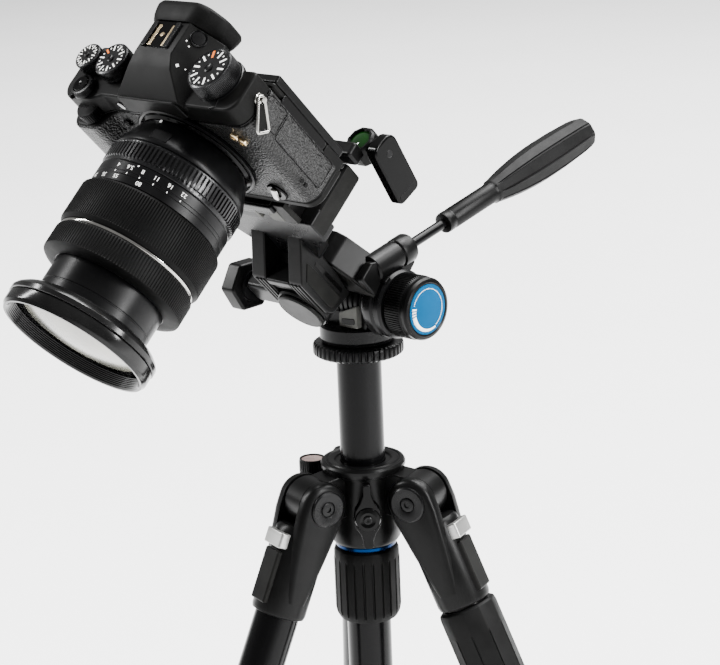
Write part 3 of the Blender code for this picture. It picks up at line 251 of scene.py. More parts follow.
LEATHER = grained("grained_wrap", 0.001, (0.007, 0.007, 0.0068), 880.0, 0.0007, (0.28, 0.40))
GRIP_WRAP = grained("fine_grained_wrap", 0.001, (0.007, 0.007, 0.0068), 1000.0, 0.0006, (0.28, 0.40))


# ---------------------------------------------------------------- piece makers

def put(name, mesh, place, material, body, replaced=()):
    """One piece: set in place, painted and riding on its body."""
    made = bpy.data.objects.new(name, mesh)
    bpy.context.scene.collection.objects.link(made)
    made.matrix_world = place
    mesh.materials.append(material)
    mesh.shade_smooth()
    mesh.set_sharp_from_angle(angle=math.radians(32))
    bpy.context.view_layer.update()
    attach(made, body)
    if replaced:
        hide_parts(*replaced)
    return made


def to_mesh(name, shape):
    mesh = bpy.data.meshes.new(name)
    shape.to_mesh(mesh)
    shape.free()
    return mesh


def bevel(piece, width, segments=3):
    made = piece.modifiers.new("bevel", "BEVEL")
    made.width = width * MM
    made.segments = segments
    made.limit_method = "ANGLE"
    made.angle_limit = math.radians(30)
    made.harden_normals = True
    return piece


def lathe(name, rings, place, material, body, replaced=(), steps=96, teeth=0, duty=0.5,
        ramp_part=0.12, closed=False):
    """A turned piece. Each ring is (radius, z) or (radius, z, depth): depth is how far its grooves go in."""
    if teeth:
        slots = [(0.0, 0), (duty - ramp_part, 0), (duty, 1), (1.0 - ramp_part, 1)]
        angles = [(2 * PI * (n + part) / teeth, low) for n in range(teeth) for part, low in slots]
    else:
        angles = [(2 * PI * n / steps, 0) for n in range(steps)]
    shape = bmesh.new()
    rows = []
    for ring in rings:
        radius, z = ring[0], ring[1]
        depth = ring[2] if len(ring) > 2 else 0.0
        if radius < 1e-6:
            rows.append([shape.verts.new((0, 0, z * MM))])
            continue
        spots = [((radius - depth * low) * MM, a) for a, low in angles]
        rows.append([shape.verts.new((r * math.cos(a), r * math.sin(a), z * MM)) for r, a in spots])
    count = len(angles)
    pairs = list(zip(rows, rows[1:]))
    if closed:
        pairs.append((rows[-1], rows[0]))
    for first, second in pairs:
        for n in range(count):
            m = (n + 1) % count
            if len(first) == 1 and len(second) == 1:
                continue
            if len(first) == 1:
                shape.faces.new((first[0], second[m], second[n]))
            elif len(second) == 1:
                shape.faces.new((first[n], first[m], second[0]))
            else:
                shape.faces.new((first[n], first[m], second[m], second[n]))
    if not closed:
        for row, flip in ((rows[0], True), (rows[-1], False)):
            if len(row) > 1:
                shape.faces.new(row[::-1] if flip else row)
    bmesh.ops.recalc_face_normals(shape, faces=shape.faces)
    return put(name, to_mesh(name, shape), place, material, body, replaced)


def rounded(points, radius, steps=5):
    """The outline with each corner replaced by an arc. radius is one number, or one for each corner."""
    result = []
    count = len(points)
    for n, corner in enumerate(points):
        reach_wanted = radius[n] if isinstance(radius, (list, tuple)) else radius
        here = Vector(corner)
        before = Vector(points[n - 1]) - here
        after = Vector(points[(n + 1) % count]) - here
        if reach_wanted <= 0:
            result.append(tuple(here))
            continue
        half = before.angle(after) / 2
        reach = min(reach_wanted / math.tan(half), 0.45 * before.length, 0.45 * after.length)
        bend = reach * math.tan(half)
        middle = here + (before.normalized() + after.normalized()).normalized() * bend / math.sin(half)
        first = here + before.normalized() * reach - middle
        swing = first.angle_signed(here + after.normalized() * reach - middle)
        for k in range(steps + 1):
            result.append(tuple(middle + Matrix.Rotation(-swing * k / steps, 2) @ first))
    return result


def rect(left, low, right, high, radius):
    return rounded([(left, low), (right, low), (right, high), (left, high)], radius)


def slab(name, outline, low, high, place, material, body, replaced=(), edge=0.0, segments=3):
    """A flat outline given thickness."""
    shape = bmesh.new()
    near = [shape.verts.new((x * MM, y * MM, low * MM)) for x, y in outline]
    far = [shape.verts.new((x * MM, y * MM, high * MM)) for x, y in outline]
    count = len(outline)
    shape.faces.new(near[::-1])
    shape.faces.new(far)
    for n in range(count):
        m = (n + 1) % count
        shape.faces.new((near[n], near[m], far[m], far[n]))
    bmesh.ops.recalc_face_normals(shape, faces=shape.faces)
    made = put(name, to_mesh(name, shape), place, material, body, replaced)
    return bevel(made, edge, segments) if edge else made


def box(name, low, high, place, material, body, replaced=(), edge=0.5):
    return slab(name, rect(*low[:2], *high[:2], 0), low[2], high[2], place, material, body,
        replaced, edge)


def side(name, outline, left, right, place, material, body, replaced=(), edge=0.0, segments=3):
    """An outline in (y, z), given thickness along x."""
    swap = Matrix(((0, 0, 1, 0), (1, 0, 0, 0), (0, 1, 0, 0), (0, 0, 0, 1)))
    return slab(name, outline, left, right, place @ swap, material, body, replaced, edge, segments)


def solid(name, points, faces, place, material, body, edge):
    """A piece given by its corners and faces."""
    shape = bmesh.new()
    corners = [shape.verts.new(Vector(p) * MM) for p in points]
    for face in faces:
        shape.faces.new([corners[n] for n in face])
    bmesh.ops.recalc_face_normals(shape, faces=shape.faces)
    return bevel(put(name, to_mesh(name, shape), place, material, body), edge)


def wire(name, points, radius, place, material, body, cyclic=False, replaced=()):
    """A round wire through points, as a mesh."""
    curve = bpy.data.curves.new(name, "CURVE")
    curve.dimensions = "3D"
    curve.bevel_depth = radius * MM
    curve.bevel_resolution = 4
    curve.use_fill_caps = True
    line = curve.splines.new("POLY")
    line.points.add(len(points) - 1)
    for point, p in zip(line.points, points):
        point.co = (*(Vector(p) * MM), 1.0)
    line.use_cyclic_u = cyclic
    drawn = bpy.data.objects.new(name + "_path", curve)
    bpy.context.scene.collection.objects.link(drawn)
    mesh = bpy.data.meshes.new_from_object(drawn.evaluated_get(bpy.context.evaluated_depsgraph_get()))
    bpy.data.objects.remove(drawn)
    return put(name, mesh, place, material, body, replaced)


def stack(name, rows, place, material, body, replaced=()):
    """A piece skinned over a stack of outlines with the same number of points, closed at both ends."""
    shape = bmesh.new()
    made = [[shape.verts.new(Vector(p) * MM) for p in row] for row in rows]
    count = len(made[0])
    for first, second in zip(made, made[1:]):
        for n in range(count):
            m = (n + 1) % count
            shape.faces.new((first[n], first[m], second[m], second[n]))
    shape.faces.new(made[0])
    shape.faces.new(made[-1])
    bmesh.ops.recalc_face_normals(shape, faces=shape.faces)
    return put(name, to_mesh(name, shape), place, material, body, replaced)


def figure(name, words, size, place, material, body):
    """A generic number, lying in the XY plane of its place and centred on it."""
    curve = bpy.data.curves.new(name, "FONT")
    curve.body = words
    curve.size = size * MM
    curve.extrude = 0.06 * MM
    curve.align_x = "CENTER"
    curve.align_y = "CENTER"
    curve.resolution_u = 3
    drawn = bpy.data.objects.new(name + "_text", curve)
    bpy.context.scene.collection.objects.link(drawn)
    mesh = bpy.data.meshes.new_from_object(drawn.evaluated_get(bpy.context.evaluated_depsgraph_get()))
    bpy.data.objects.remove(drawn)
    return put(name, mesh, place, material, body)


def marks(name, places, size, material, body):
    """Many small blocks as one piece. Each place is a matrix; size is x, y, z in millimetres."""
    shape = bmesh.new()
    for place in places:
        bmesh.ops.create_cube(shape, size=MM, matrix=place @ Matrix.Diagonal((*size, 1.0)))
    return put(name, to_mesh(name, shape), Matrix(), material, body)


def screw(name, radius, place, body):
    """A screw head with a round socket."""
    head = [(0, -0.9), (radius * 0.42, -0.9), (radius * 0.45, -0.05), (radius * 0.82, 0.0),
        (radius, -0.25), (radius, -1.2), (0, -1.2)]
    lathe(name, head, place, METAL, body, steps=32)


CAM = "camera"
SIDES = (("left", 1), ("right", -1))


# ---------------------------------------------------------------- tripod legs

def arc(cx, cy, radius, start, stop, steps):
    return [(cx + radius * math.cos(math.radians(start + (stop - start) * k / steps)),
        cy + radius * math.sin(math.radians(start + (stop - start) * k / steps)))
        for k in range(steps + 1)]


LEG_TUBE, CASTING, CASTING_LOW, TUBE_LOW = 13.0, 16.0, -68, -300     # radii, and heights below the hinge
CHEEK, CHEEK_INNER = 14.4, 9.1                                        # half width at the hinge, inner face
HINGE_GAP = 8.7                                                       # half width of the hub's knuckles


def make_leg(number):
    leg = f"leg_{number}"
    base = LEGS[number - 1]
    for label, outward in (("near", -1), ("far", 1)):
        rows = []
        for depth, inset in ((CHEEK_INNER, 0.0), (12.4, 0.0), (14.4, 0.7), (15.6, 2.0), (16.2, 3.6)):
            left = [(inset - CHEEK, -8), (inset - 11.4, -30), (inset - 6.8, -58)]
            right = [(-x, z) for x, z in left[::-1]]
            outline = arc(0, 0, CHEEK - inset, 0, 180, 24) + left + right
            rows.append([(x, outward * depth, z) for x, z in outline])
        stack(f"{leg}_yoke_{label}", rows, base, CAST, leg)
        cap = base @ at(0, outward * 16.4, 0) @ turn(-90 * outward, "X")
        lathe(f"{leg}_cap_{label}", [(0, 0.2), (4.2, 0.2), (4.6, 0.9), (7.0, 1.5), (9.6, 1.5),
            (10.4, 0.9), (10.6, -0.6), (0, -0.6)], cap, METAL, leg, steps=64)
        screw(f"{leg}_bolt_{label}", 4.0, cap @ at(z=1.3), leg)
    lathe(f"{leg}_casting", [(0, -14.6), (12.4, -14.6), (14.6, -15.6), (15.8, -17.6), (CASTING, -20),
        (CASTING, -65), (15.4, -67.2), (13.4, CASTING_LOW), (0, CASTING_LOW)], base, CAST, leg,
        (f"{leg}_upper",))
    box(f"{leg}_casting_fin", (8, -7.0, -62), (17.2, 7.0, -31), base, GREY_CAST, leg, edge=1.2)
    lathe(f"{leg}_tube", [(LEG_TUBE, -67.5), (LEG_TUBE, TUBE_LOW), (12.5, -300.6), (11.6, -300.6),
        (11.6, -67.5)], base, TUBE, leg, steps=128, closed=True)
    tab = base @ at(11.0, 0, -20)
    slab(f"{leg}_tab", rect(0, -8.5, 8.0, 8.5, 1.5), -9.0, 0.0, tab, SILVER, f"{leg}_tab",
        (f"{leg}_angle_tab",), edge=0.8)
    top = base @ at(z=-292)
    lathe(f"{leg}_lock", [(13.4, 0), (15.6, 0), (16.8, -1.6, 0.0), (17.0, -3.0, 0.7), (17.0, -38.0, 0.7),
        (16.6, -40.2, 0.0), (15.0, -42.0), (13.4, -42.0)], top, RUBBER, f"{leg}_lock",
        (f"{leg}_twist_lock",), teeth=36, duty=0.72, closed=True)
    lathe(f"{leg}_section", [(11.3, -90), (11.3, -348), (10.0, -348), (10.0, -90)], base, TUBE,
        f"{leg}_section", (f"{leg}_lower_tube",), closed=True)
    nodes[f"{leg}_foot"].material_slots[0].material = RUBBER
    for k, z in enumerate((-342, -347, -352, -357)):
        lathe(f"{leg}_foot_rib_{k}", [(13.6, z), (14.0, z - 0.5), (14.0, z - 2.3), (13.6, z - 2.8)], base,
            RUBBER, f"{leg}_section", steps=64, closed=False)


for leg_number in (1, 2, 3):
    make_leg(leg_number)

if "leg_2_grip" in nodes:
    lathe("leg_2_sleeve", [(13.3, -69), (15.6, -69), (17.0, -70.2), (17.5, -72.6), (17.5, -84),
        (17.5, -86, 0.7), (17.5, -205, 0.7), (17.5, -208), (17.2, -217), (15.6, -219), (13.3, -219)],
        LEGS[1], GRIP_RUBBER, "leg_2", ("leg_2_grip",), teeth=10, duty=0.93, ramp_part=0.02,
        closed=True)


# ---------------------------------------------------------------- spider and column

WORLD = Matrix()
for n in range(3):
    spoke = turn(LEG_AZIMUTH + 120 * n, "Z") @ at(x=36, z=HINGE_Z) @ TO_FRONT
    lathe(f"hub_knuckle_{n + 1}", [(0, -HINGE_GAP), (12.6, -HINGE_GAP), (13.8, -7.6), (13.8, 7.6),
        (12.6, HINGE_GAP), (0, HINGE_GAP)], spoke, CAST, "hub", steps=96)
top, foot = SPIDER_TOP, SPIDER_BOTTOM
lathe("hub_rim", [(13.4, top - 1.2), (16.2, top - 1.2), (16.8, top - 0.3), (18.0, top), (20.4, top),
    (20.9, top - 0.6), (21.6, top - 0.6), (22.2, top - 0.1), (24.0, top - 0.4), (24.8, top - 1.6),
    (24.8, top - 3.6), (24.0, top - 5.4), (21.8, top - 6.4), (20.4, top - 9), (20.2, foot + 12),
    (20.6, foot + 9), (20.6, foot + 2), (19.4, foot), (13.4, foot)], WORLD, CAST, "hub", ("spider",),
    steps=128, closed=True)
for n in range(3):
    spoke = turn(LEG_AZIMUTH + 120 * n, "Z")
    web = [(12.0, HINGE_Z - 11), (34, HINGE_Z - 12.2), (46, HINGE_Z - 6), (48, HINGE_Z),
        (46, HINGE_Z + 6), (36, HINGE_Z + 12.4), (20, HINGE_Z + 14.5), (12, HINGE_Z + 14.5)]
    slab(f"hub_spoke_{n + 1}", rounded(web, [0, 4, 5, 5, 5, 5, 3, 0]), -HINGE_GAP, HINGE_GAP,
        spoke @ TO_FRONT, CAST, "hub", edge=1.0)
level = turn(LEG_AZIMUTH - 60, "Z") @ at(x=33.6)
LEVEL_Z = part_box("hub_level")[0][2] / MM
slab("hub_level_arm", rounded([(15, -12), (28, -10), (42, -8), (42, 8), (28, 10), (15, 12)],
    [0, 8, 7, 7, 8, 0]), LEVEL_Z - 7.2, LEVEL_Z - 0.4, turn(LEG_AZIMUTH - 60, "Z"), CAST, "hub",
    edge=1.4)
z = LEVEL_Z
lathe("hub_level_case", [(0, z), (7.8, z), (8.0, z + 1, 0.4), (8.0, z + 7.4, 0.4), (7.6, z + 9.0),
    (6.8, z + 9.0), (6.6, z + 8.2), (0, z + 8.2)], level, METAL, "hub", ("hub_level",), teeth=32)
lathe("hub_level_window", [(0, z + 8.95), (4.5, z + 8.85), (6.5, z + 8.3), (0, z + 8.2)], level,
    BUBBLE_TOP, "hub")

lever = joint_place("column_lever_turn") @ turn(LEG_AZIMUTH + 60, "Z") @ TO_X
wing = [(-21, -2.4), (-15, -2.4), (-10, -4.4), (-6, -7.0), (0, -8.0), (5, -7.0), (9, -4.4), (13, -3.0),
    (18, -3.0), (18, 3.0), (13, 3.0), (9, 4.4), (5, 7.0), (0, 8.0), (-6, 7.0), (-10, 4.4), (-15, 2.4),
    (-21, 2.4)]
slab("lever_wing", rounded(wing, 1.6, 3), 4.6, 10.6, lever, GLOSS, "column_lever", ("column_lever",),
    edge=1.4, segments=4)
lathe("lever_hub", [(0, 0.3), (5.4, 0.3), (5.4, 4.0), (7.8, 5.0), (7.9, 9.6), (6.9, 11.6), (4.6, 12.0),
    (3.4, 11.4), (0, 11.4)], lever, GLOSS, "column_lever", steps=64)
screw("lever_bolt", 2.4, lever @ at(z=12.2), "column_lever")

COLLAR_TOP = joints["column_collar_twist"]["pos_m"][2] / MM
lathe("collar_band", [(13.3, foot - 0.3), (16.9, foot - 0.3), (17.8, foot - 1.3), (17.8, foot - 2.9),
    (17.0, foot - 3.9), (13.3, foot - 3.9)], WORLD, BLUE_METAL, "hub", ("collar_ring",),
    closed=True)
lathe("collar_twist", [(13.4, 0), (17.4, 0), (18.6, -0.8), (19.2, -2.4), (19.3, -6, 0.0), (19.5, -8, 1.0),
    (19.5, -38, 1.0), (19.0, -41, 0.0), (17.4, -44), (13.4, -44)], at(z=COLLAR_TOP), RUBBER,
    "column_collar", ("column_collar",), teeth=22, duty=0.8, ramp_part=0.08, closed=True)
column_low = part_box("centre_column")[0][2] / MM
lathe("column_tube", [(12.6, PLATE_Z - 0.3), (13.0, PLATE_Z - 0.8), (13.0, column_low + 0.6),
    (12.6, column_low), (11.5, column_low), (11.5, PLATE_Z - 0.3)], WORLD, TUBE, "column",
    ("centre_column",), steps=160, closed=True)
z = PLATE_Z
lathe("column_head", [(0, z), (13.5, z), (19.0, z), (24.6, z + 0.4), (26.0, z + 1.4, 0.9),
    (26.2, z + 2.2, 1.2), (26.2, z + 6.2, 1.2), (25.8, z + 7.2, 0.9), (24.4, z + 7.9), (21.9, z + 8.0),
    (0, z + 8.0)], WORLD, METAL, "column", ("column_plate",), teeth=44, duty=0.62, ramp_part=0.2)


# ---------------------------------------------------------------- head: pan part

PAN_Z = PLATE_Z + 8.3
z = PAN_Z
lathe("pan_base", [(0, z), (20.4, z), (21.0, z + 0.6), (21.2, z + 1.8), (21.8, z + 2.6), (21.8, z + 9.4),
    (21.0, z + 10.4), (19.0, z + 10.8), (0, z + 10.8)], WORLD, METAL, "pan", ("pan_body",), steps=128)
tilt_world = at(z=TILT_Z)
barrel = tilt_world @ TO_X
ridges = [(0, -22.2), (12.6, -22.2), (13.6, -21.4)]
for k in range(9):
    z = -20.5 + 4.0 * k
    ridges += [(14.0, z), (14.0, z + 2.4), (13.0, z + 2.9), (13.0, z + 3.5)]
ridges += [(14.0, 16.5), (14.0, 21.6), (13.2, 22.2), (0, 22.2)]
lathe("pan_barrel", ridges, barrel, CAST, "pan")
face = [(-17, PAN_Z + 9), (17, PAN_Z + 9), (20.5, TILT_Z - 6), (20.5, TILT_Z + 2), (-20.5, TILT_Z + 2),
    (-20.5, TILT_Z - 6)]
slab("pan_pillar", rounded(face, 2.0), -11.5, 11.5, TO_FRONT, CAST, "pan", edge=1.4)
slab("pan_face", [(1.0, PAN_Z + 11.0), (15.0, PAN_Z + 11.6), (15.0, TILT_Z - 1.5), (1.0, TILT_Z - 7)],
    11.3, 15.6, TO_FRONT, PALE_CAST, "pan", edge=0.5)
slab("pan_face_slot", rounded([(3.0, PAN_Z + 13.0), (13.6, PAN_Z + 13.6), (13.6, PAN_Z + 17.2),
    (3.0, PAN_Z + 16.2)], 1.2), 15.3, 15.9, TO_FRONT, GLOSS, "pan", edge=0.3)
knob_place = joint_place("pan_knob_turn")
lathe("pan_boss", [(0, -19), (8.4, -19), (8.4, -6), (7.6, -0.6), (0, -0.6)], knob_place, CAST, "pan")
side("pan_bridge", rect(0, PAN_Z + 1.2, 42, PAN_Z + 9.4, 2), -6.5, 6.5, turn(41.8, "Z"), CAST, "pan",
    edge=1.2)
lathe("pan_knob_grip", [(0, 0), (11.6, 0), (12.8, 1.2, 0.8), (13.0, 2.5, 1.0), (13.0, 10.5, 1.0),
    (12.4, 12.2, 0.4), (11.4, 13.0), (10.6, 12.6), (0, 12.6)], knob_place, PLASTIC, "pan_knob",
    ("pan_knob",), teeth=30, duty=0.6, ramp_part=0.15)
lathe("pan_knob_cap", [(0, 12.5), (10.4, 12.5), (10.4, 12.85), (9.8, 12.98), (0, 12.98)], knob_place,
    BLUEGREY, "pan_knob")

# tilt knob: knurled skirt, flat rim and a blue face with a plain scale
KNOB_X = 37.8
knob = tilt_world @ at(x=KNOB_X) @ TO_X
lathe("tilt_knob_grip", [(0, 0), (16.0, 0), (17.4, 0.7), (18.2, 1.8, 0.7), (18.2, 11.4, 0.7),
    (17.6, 12.2, 0.0), (17.3, 13.2), (17.7, 13.9), (17.7, 16.0), (16.8, 17.4), (15.2, 17.9), (14.4, 17.4),
    (0, 17.4)], knob, PLASTIC, "tilt_knob", ("tilt_knob",), teeth=80, duty=0.55, ramp_part=0.2)
lathe("tilt_knob_face", [(0, 17.3), (14.2, 17.3), (14.2, 17.6), (13.9, 17.75), (0, 17.75)], knob, BLUE,
    "tilt_knob", steps=128)
dash = [knob @ turn(a, "Z") @ at(x=11.6, z=17.78) for a in range(34, 250, 5)]
marks("tilt_knob_dashes", dash, (0.45, 0.55, 0.08), WHITE, "tilt_knob")


def crescent(name, start, stop, outer, thin, thick, place, material, body):
    """A band that widens along its length, as on a lock scale."""
    outline = []
    steps = 40
    for k in range(steps + 1):
        a = math.radians(start + (stop - start) * k / steps)
        outline.append((outer * math.cos(a), outer * math.sin(a)))
    for k in range(steps, -1, -1):
        a = math.radians(start + (stop - start) * k / steps)
        w = thin + (thick - thin) * k / steps
        outline.append(((outer - w) * math.cos(a), (outer - w) * math.sin(a)))
    shape = bmesh.new()
    count = steps + 1
    tops = [shape.verts.new((x * MM, y * MM, 17.85 * MM)) for x, y in outline]
    for k in range(steps):
        shape.faces.new((tops[k], tops[k + 1], tops[2 * count - 2 - k], tops[2 * count - 1 - k]))
    made = put(name, to_mesh(name, shape), place, material, body)
    thicken = made.modifiers.new("thick", "SOLIDIFY")
    thicken.thickness = 0.08 * MM
    return made


crescent("tilt_knob_scale", 258, 388, 12.6, 3.4, 0.9, knob, WHITE, "tilt_knob")
for k, a in enumerate((265, 273, 281)):
    wedge = knob @ turn(a, "Z") @ at(x=10.9, z=17.9)
    marks(f"tilt_knob_bar_{k + 1}", [wedge], (4.0, 0.6, 0.1), BLUE, "tilt_knob")


# ---------------------------------------------------------------- head: tilt part

HX = T @ TO_X
lathe("tilt_hub", [(6.3, 22.5), (17.6, 22.5), (19.4, 23.2), (20.0, 24.4), (20.0, 29.6), (19.2, 30.4),
    (18.9, 31.4), (19.6, 32.2), (19.6, 35.6), (18.4, 37.2), (16.0, 37.5), (6.3, 37.5)], HX, METAL, "tilt",
    ("tilt_body",), steps=128, closed=True)
box("tilt_hub_notch", (24, -2.2, 17.6), (37.0, 2.2, 20.8), T @ turn(-8, "X"), CAST, "tilt", edge=0.5)
plate = rounded([(-9, 18.5), (2, 16.8), (11.5, 17.5), (23.0, 15.6), (23.0, 9.5), (34.5, 9.5),
    (34.5, 15.5), (28.0, 27.0), (17.5, 45.5), (12.5, 49.4), (4.5, 49.4), (-3.5, 45)], [1, 3, 3, 1, 1, 1,
    3, 8, 6, 3, 4, 5])
slab("tilt_arm", plate, -11.6, 7.6, T @ TO_FRONT, CAST, "tilt", edge=1.6)
arm_face = rounded([(15.5, 33.0), (22.6, 20.2), (31.8, 14.6), (33.4, 15.6), (27.2, 26.8), (17.6, 43.4),
    (14.6, 44.8)], 1.2)
slab("tilt_arm_panel", arm_face, 7.4, 8.3, T @ TO_FRONT, GREY_CAST, "tilt", edge=0.4)
side("tilt_arm_side", rounded([(-7.4, 15), (11.4, 15), (11.4, 26), (4.0, 33.5), (-7.4, 33.5)], 2), 27.5,
    33.2, T, CAST, "tilt", edge=1.4)
ROLL = T @ at(z=30) @ TO_FRONT
lathe("roll_boss", [(0, -14.3), (11.4, -14.3), (13.4, -13.2), (14.6, -10.8), (14.6, 6.8), (13.8, 8.6),
    (0, 8.6)], ROLL, CAST, "tilt", steps=128)
lathe("roll_cap", [(0, 31.3), (13.2, 31.3), (14.5, 31.7), (14.5, 32.7), (13.7, 33.3), (13.2, 33.1),
    (12.9, 33.3), (0, 33.3)], ROLL, GREY_CAST, "tilt", ("side_tilt_cap",), steps=128)
HANDLE = joint_place("handle_twist") @ turn(TILT, "X") @ turn(-90 - 29, "X")
lathe("handle_socket", [(0, -9.5), (7.2, -9.5), (8.4, -8.6), (8.4, 9.8), (7.7, 10.4), (7.7, 11.8),
    (8.4, 12.4), (8.6, 13.0), (8.6, 21.0), (8.0, 22.3), (3.4, 22.5), (0, 22.5)], HANDLE, CAST, "tilt",
    steps=96)
side("handle_web", rounded([(8.0, 1.0), (26.6, 3.0), (29.5, 9.5), (24.0, 13.5), (8.0, 17.0)],
    [0, 3, 2, 2, 0]), 23.6, 31.6, T, CAST, "tilt", edge=1.2)

lathe("handle_bar", [(0, 8.6), (3.0, 8.6), (3.0, 53.6), (0, 53.6)], HANDLE, TUBE, "handle",
    ("handle_rod",), steps=48)
lathe("handle_sleeve", [(0, 53), (5.0, 53), (6.0, 53.5), (6.2, 54.6), (6.2, 58), (5.7, 58.8), (5.7, 60),
    (6.2, 60.8), (6.2, 95.0), (6.8, 97.0), (0, 97)], HANDLE, PLASTIC, "handle", steps=64)
grip = [(0, 96.5), (6.6, 96.5), (7.3, 97.6)]
for k in range(13):
    u = k / 12
    r = 7.3 + 4.5 * (1 - (1 - u) ** 2)
    grip.append((r, 99 + 46 * u, 0.9 if 1 <= k else 0.0))
grip += [(11.7, 160, 0.9), (10.9, 178, 0.9), (10.3, 183, 0.6), (9.6, 186, 0.0), (8.0, 187), (0, 187)]
lathe("handle_grip_cover", grip, HANDLE, GRIP_RUBBER, "handle", ("handle_grip",), teeth=9, duty=0.82,
    ramp_part=0.08)


# ---------------------------------------------------------------- head: side-tilt bracket and clamp

platform = [(-40, 76), (-34, 74.6), (-21.5, 58.5), (-19.5, 55), (19.5, 55), (21.5, 58.5), (34, 74.6),
    (40, 76), (40, 92), (-40, 92)]
slab("bracket_front", rounded(platform, [2, 6, 6, 1, 1, 6, 6, 2, 1, 1]), 1.0, 11.6, T @ TO_FRONT, METAL,
    CAM, ("side_tilt_bracket",), edge=1.0)
box("bracket_deck", (-40, -11.4, 78), (40, 30, 92), T, CAST, CAM, edge=2.2)


def bracket_side(label, sign):
    low, high = sorted((sign * 38.9, sign * 40.15))
    side(f"bracket_band_{label}", rect(-10.8, 79.4, 29.2, 91.2, 1.2), low, high, T, GREY_CAST, CAM,
        edge=0.5)
    arm = rounded([(-1.5, 60), (-9.0, 78.5), (-15.2, 72.0), (-30.2, 57.0), (-30.2, 31.0), (-28.0, 26.4),
        (-11.2, 23.0), (-9.6, 38.0), (-8.6, 55)], [2, 1, 2, 4, 3, 3, 2, 2, 2])
    low, high = sorted((sign * 9.2, sign * 20.0))
    side(f"bracket_arm_{label}", arm, low, high, T, CAST, CAM, edge=1.0)
    face_outline = rounded([(-26.6, 55.6), (-18.6, 62.8), (-18.2, 60.2), (-18.0, 28.2), (-25.8, 29.6),
        (-26.8, 33.0)], 0.8)
    low, high = sorted((sign * 19.8, sign * 20.5))
    side(f"bracket_panel_{label}", face_outline, low, high, T, GREY_CAST, CAM, edge=0.3)
    slot_outline = rounded([(-16.4, 57.0), (-13.6, 57.8), (-13.4, 30.4), (-16.2, 29.4)], 1.2)
    low, high = sorted((sign * 19.7, sign * 20.3))
    side(f"bracket_slot_{label}", slot_outline, low, high, T, GLOSS, CAM, edge=0.2)
    for k, x in enumerate((10.2, 13.0, 15.8)):
        low, high = sorted((sign * x, sign * (x + 1.7)))
        box(f"bracket_rib_{label}_{k + 1}", (low, -30.9, 31), (high, -30.0, 56.5), T, GREY_CAST, CAM,
            edge=0.3)


for label, sign in SIDES:
    bracket_side(label, sign)
lathe("bracket_ring", [(10.3, 9.1), (15.2, 9.1), (16.0, 10.0), (16.0, 30.0), (15.2, 31.0), (10.3, 31.0)],
    ROLL, CAST, CAM, steps=128, closed=True)
box("bracket_crossbar", (-9.5, -29.0, 47), (9.5, -26.4, 49.4), T, GREY_CAST, CAM, edge=0.4)
box("bracket_lip", (-9.6, -30.6, 51.5), (9.6, -17.0, 56.6), T, CAST, CAM, edge=1.2)
box("bracket_ear", (-38.6, -29.8, 27), (-15, -17, 43), T, CAST, CAM, edge=2.4)
box("bracket_slit", (-16.8, -31.3, 29.2), (-10.6, -9.2, 30.8), T, GLOSS, CAM, edge=0.2)

hexk = joint_place("side_tilt_knob_turn") @ turn(TILT, "X") @ TO_MINUS_X
hexagon = [(15.6 * math.cos(math.radians(60 * k + 12)), 15.6 * math.sin(math.radians(60 * k + 12)))
    for k in range(6)]
slab("side_knob_grip", rounded(hexagon, 2.6), 1.8, 12.6, hexk, PLASTIC, "side_tilt_knob",
    ("side_tilt_knob",), edge=1.6, segments=4)
lathe("side_knob_collar", [(0, 0.1), (9.0, 0.1), (9.0, 2.2), (0, 2.2)], hexk, METAL, "side_tilt_knob")
lathe("side_knob_centre", [(0, 12.3), (7.8, 12.3), (7.8, 12.9), (7.0, 13.0), (6.4, 12.4), (0, 12.4)],
    hexk, METAL, "side_tilt_knob")

clamp = [(-30, 92.3), (30, 92.3), (30, 104.2), (21.4, 104.2), (20.2, 99), (-20.2, 99), (-21.4, 104.2),
    (-30, 104.2)]
slab("clamp_base", rounded(clamp, [0.5, 0.5, 2, 0.8, 0.8, 0.8, 0.8, 2]), -33.0, 12.6, T @ TO_FRONT, CAST,
    CAM, ("clamp_body",), edge=0.6)
box("clamp_tail", (-28, 30.6, 88), (44, 39.8, 98.6), T, CAST, CAM, edge=2.0)
for k, (low, high, tone) in enumerate(((16, 26, PALE_CAST), (26, 36, GREY_CAST), (4.8, 8.2, PALE_CAST))):
    slab(f"clamp_stop_{k + 1}", rounded([(low, 95.4), (high, 95.4),
        (high - 1.2, 110.6 if high > 10 else 105), (low + 1.0, 110.6 if high > 10 else 105)], 0.6), 11.0,
        14.2, T @ TO_FRONT, tone, CAM, edge=0.5)
vial = T @ at(38, 45, 80)
lathe("vial_cup", [(0, 0), (8.6, 0), (9.5, 1.0), (9.5, 10.4), (9.0, 11.8), (8.2, 12.8), (7.2, 12.8),
    (6.9, 11.0), (0, 11.0)], vial, PLASTIC, CAM, steps=10)
lathe("vial_window", [(0, 12.7), (4.0, 12.4), (6.8, 11.2), (6.8, 10.8), (0, 10.8)], vial, GREEN, CAM,
    steps=48)
lever_place = joint_place("clamp_lever_swing") @ turn(TILT - 12.0, "X")
paddle = rounded([(-9, 9), (9, 9), (9, -30), (-9, -30)], [5, 6, 3.5, 3.5])
side("lever_paddle", paddle, 0.2, 7.5, lever_place, GLOSS, "clamp_lever", ("clamp_lever",), edge=1.3,
    segments=4)
side("lever_paddle_edge", rect(-7.6, -24.6, 7.6, -29.0, 2), 7.3, 7.7, lever_place, PLASTIC, "clamp_lever",
    edge=0.2)
lathe("lever_pivot", [(0, 6.6), (2.2, 6.6), (2.2, 7.5), (1.9, 7.7), (0, 7.7)], lever_place @ TO_X, METAL,
    "clamp_lever", steps=48)
lathe("lever_axle", [(0, -9.5), (4.0, -9.5), (4.0, -0.1), (0, -0.1)], lever_place @ TO_X, METAL, CAM,
    steps=48)

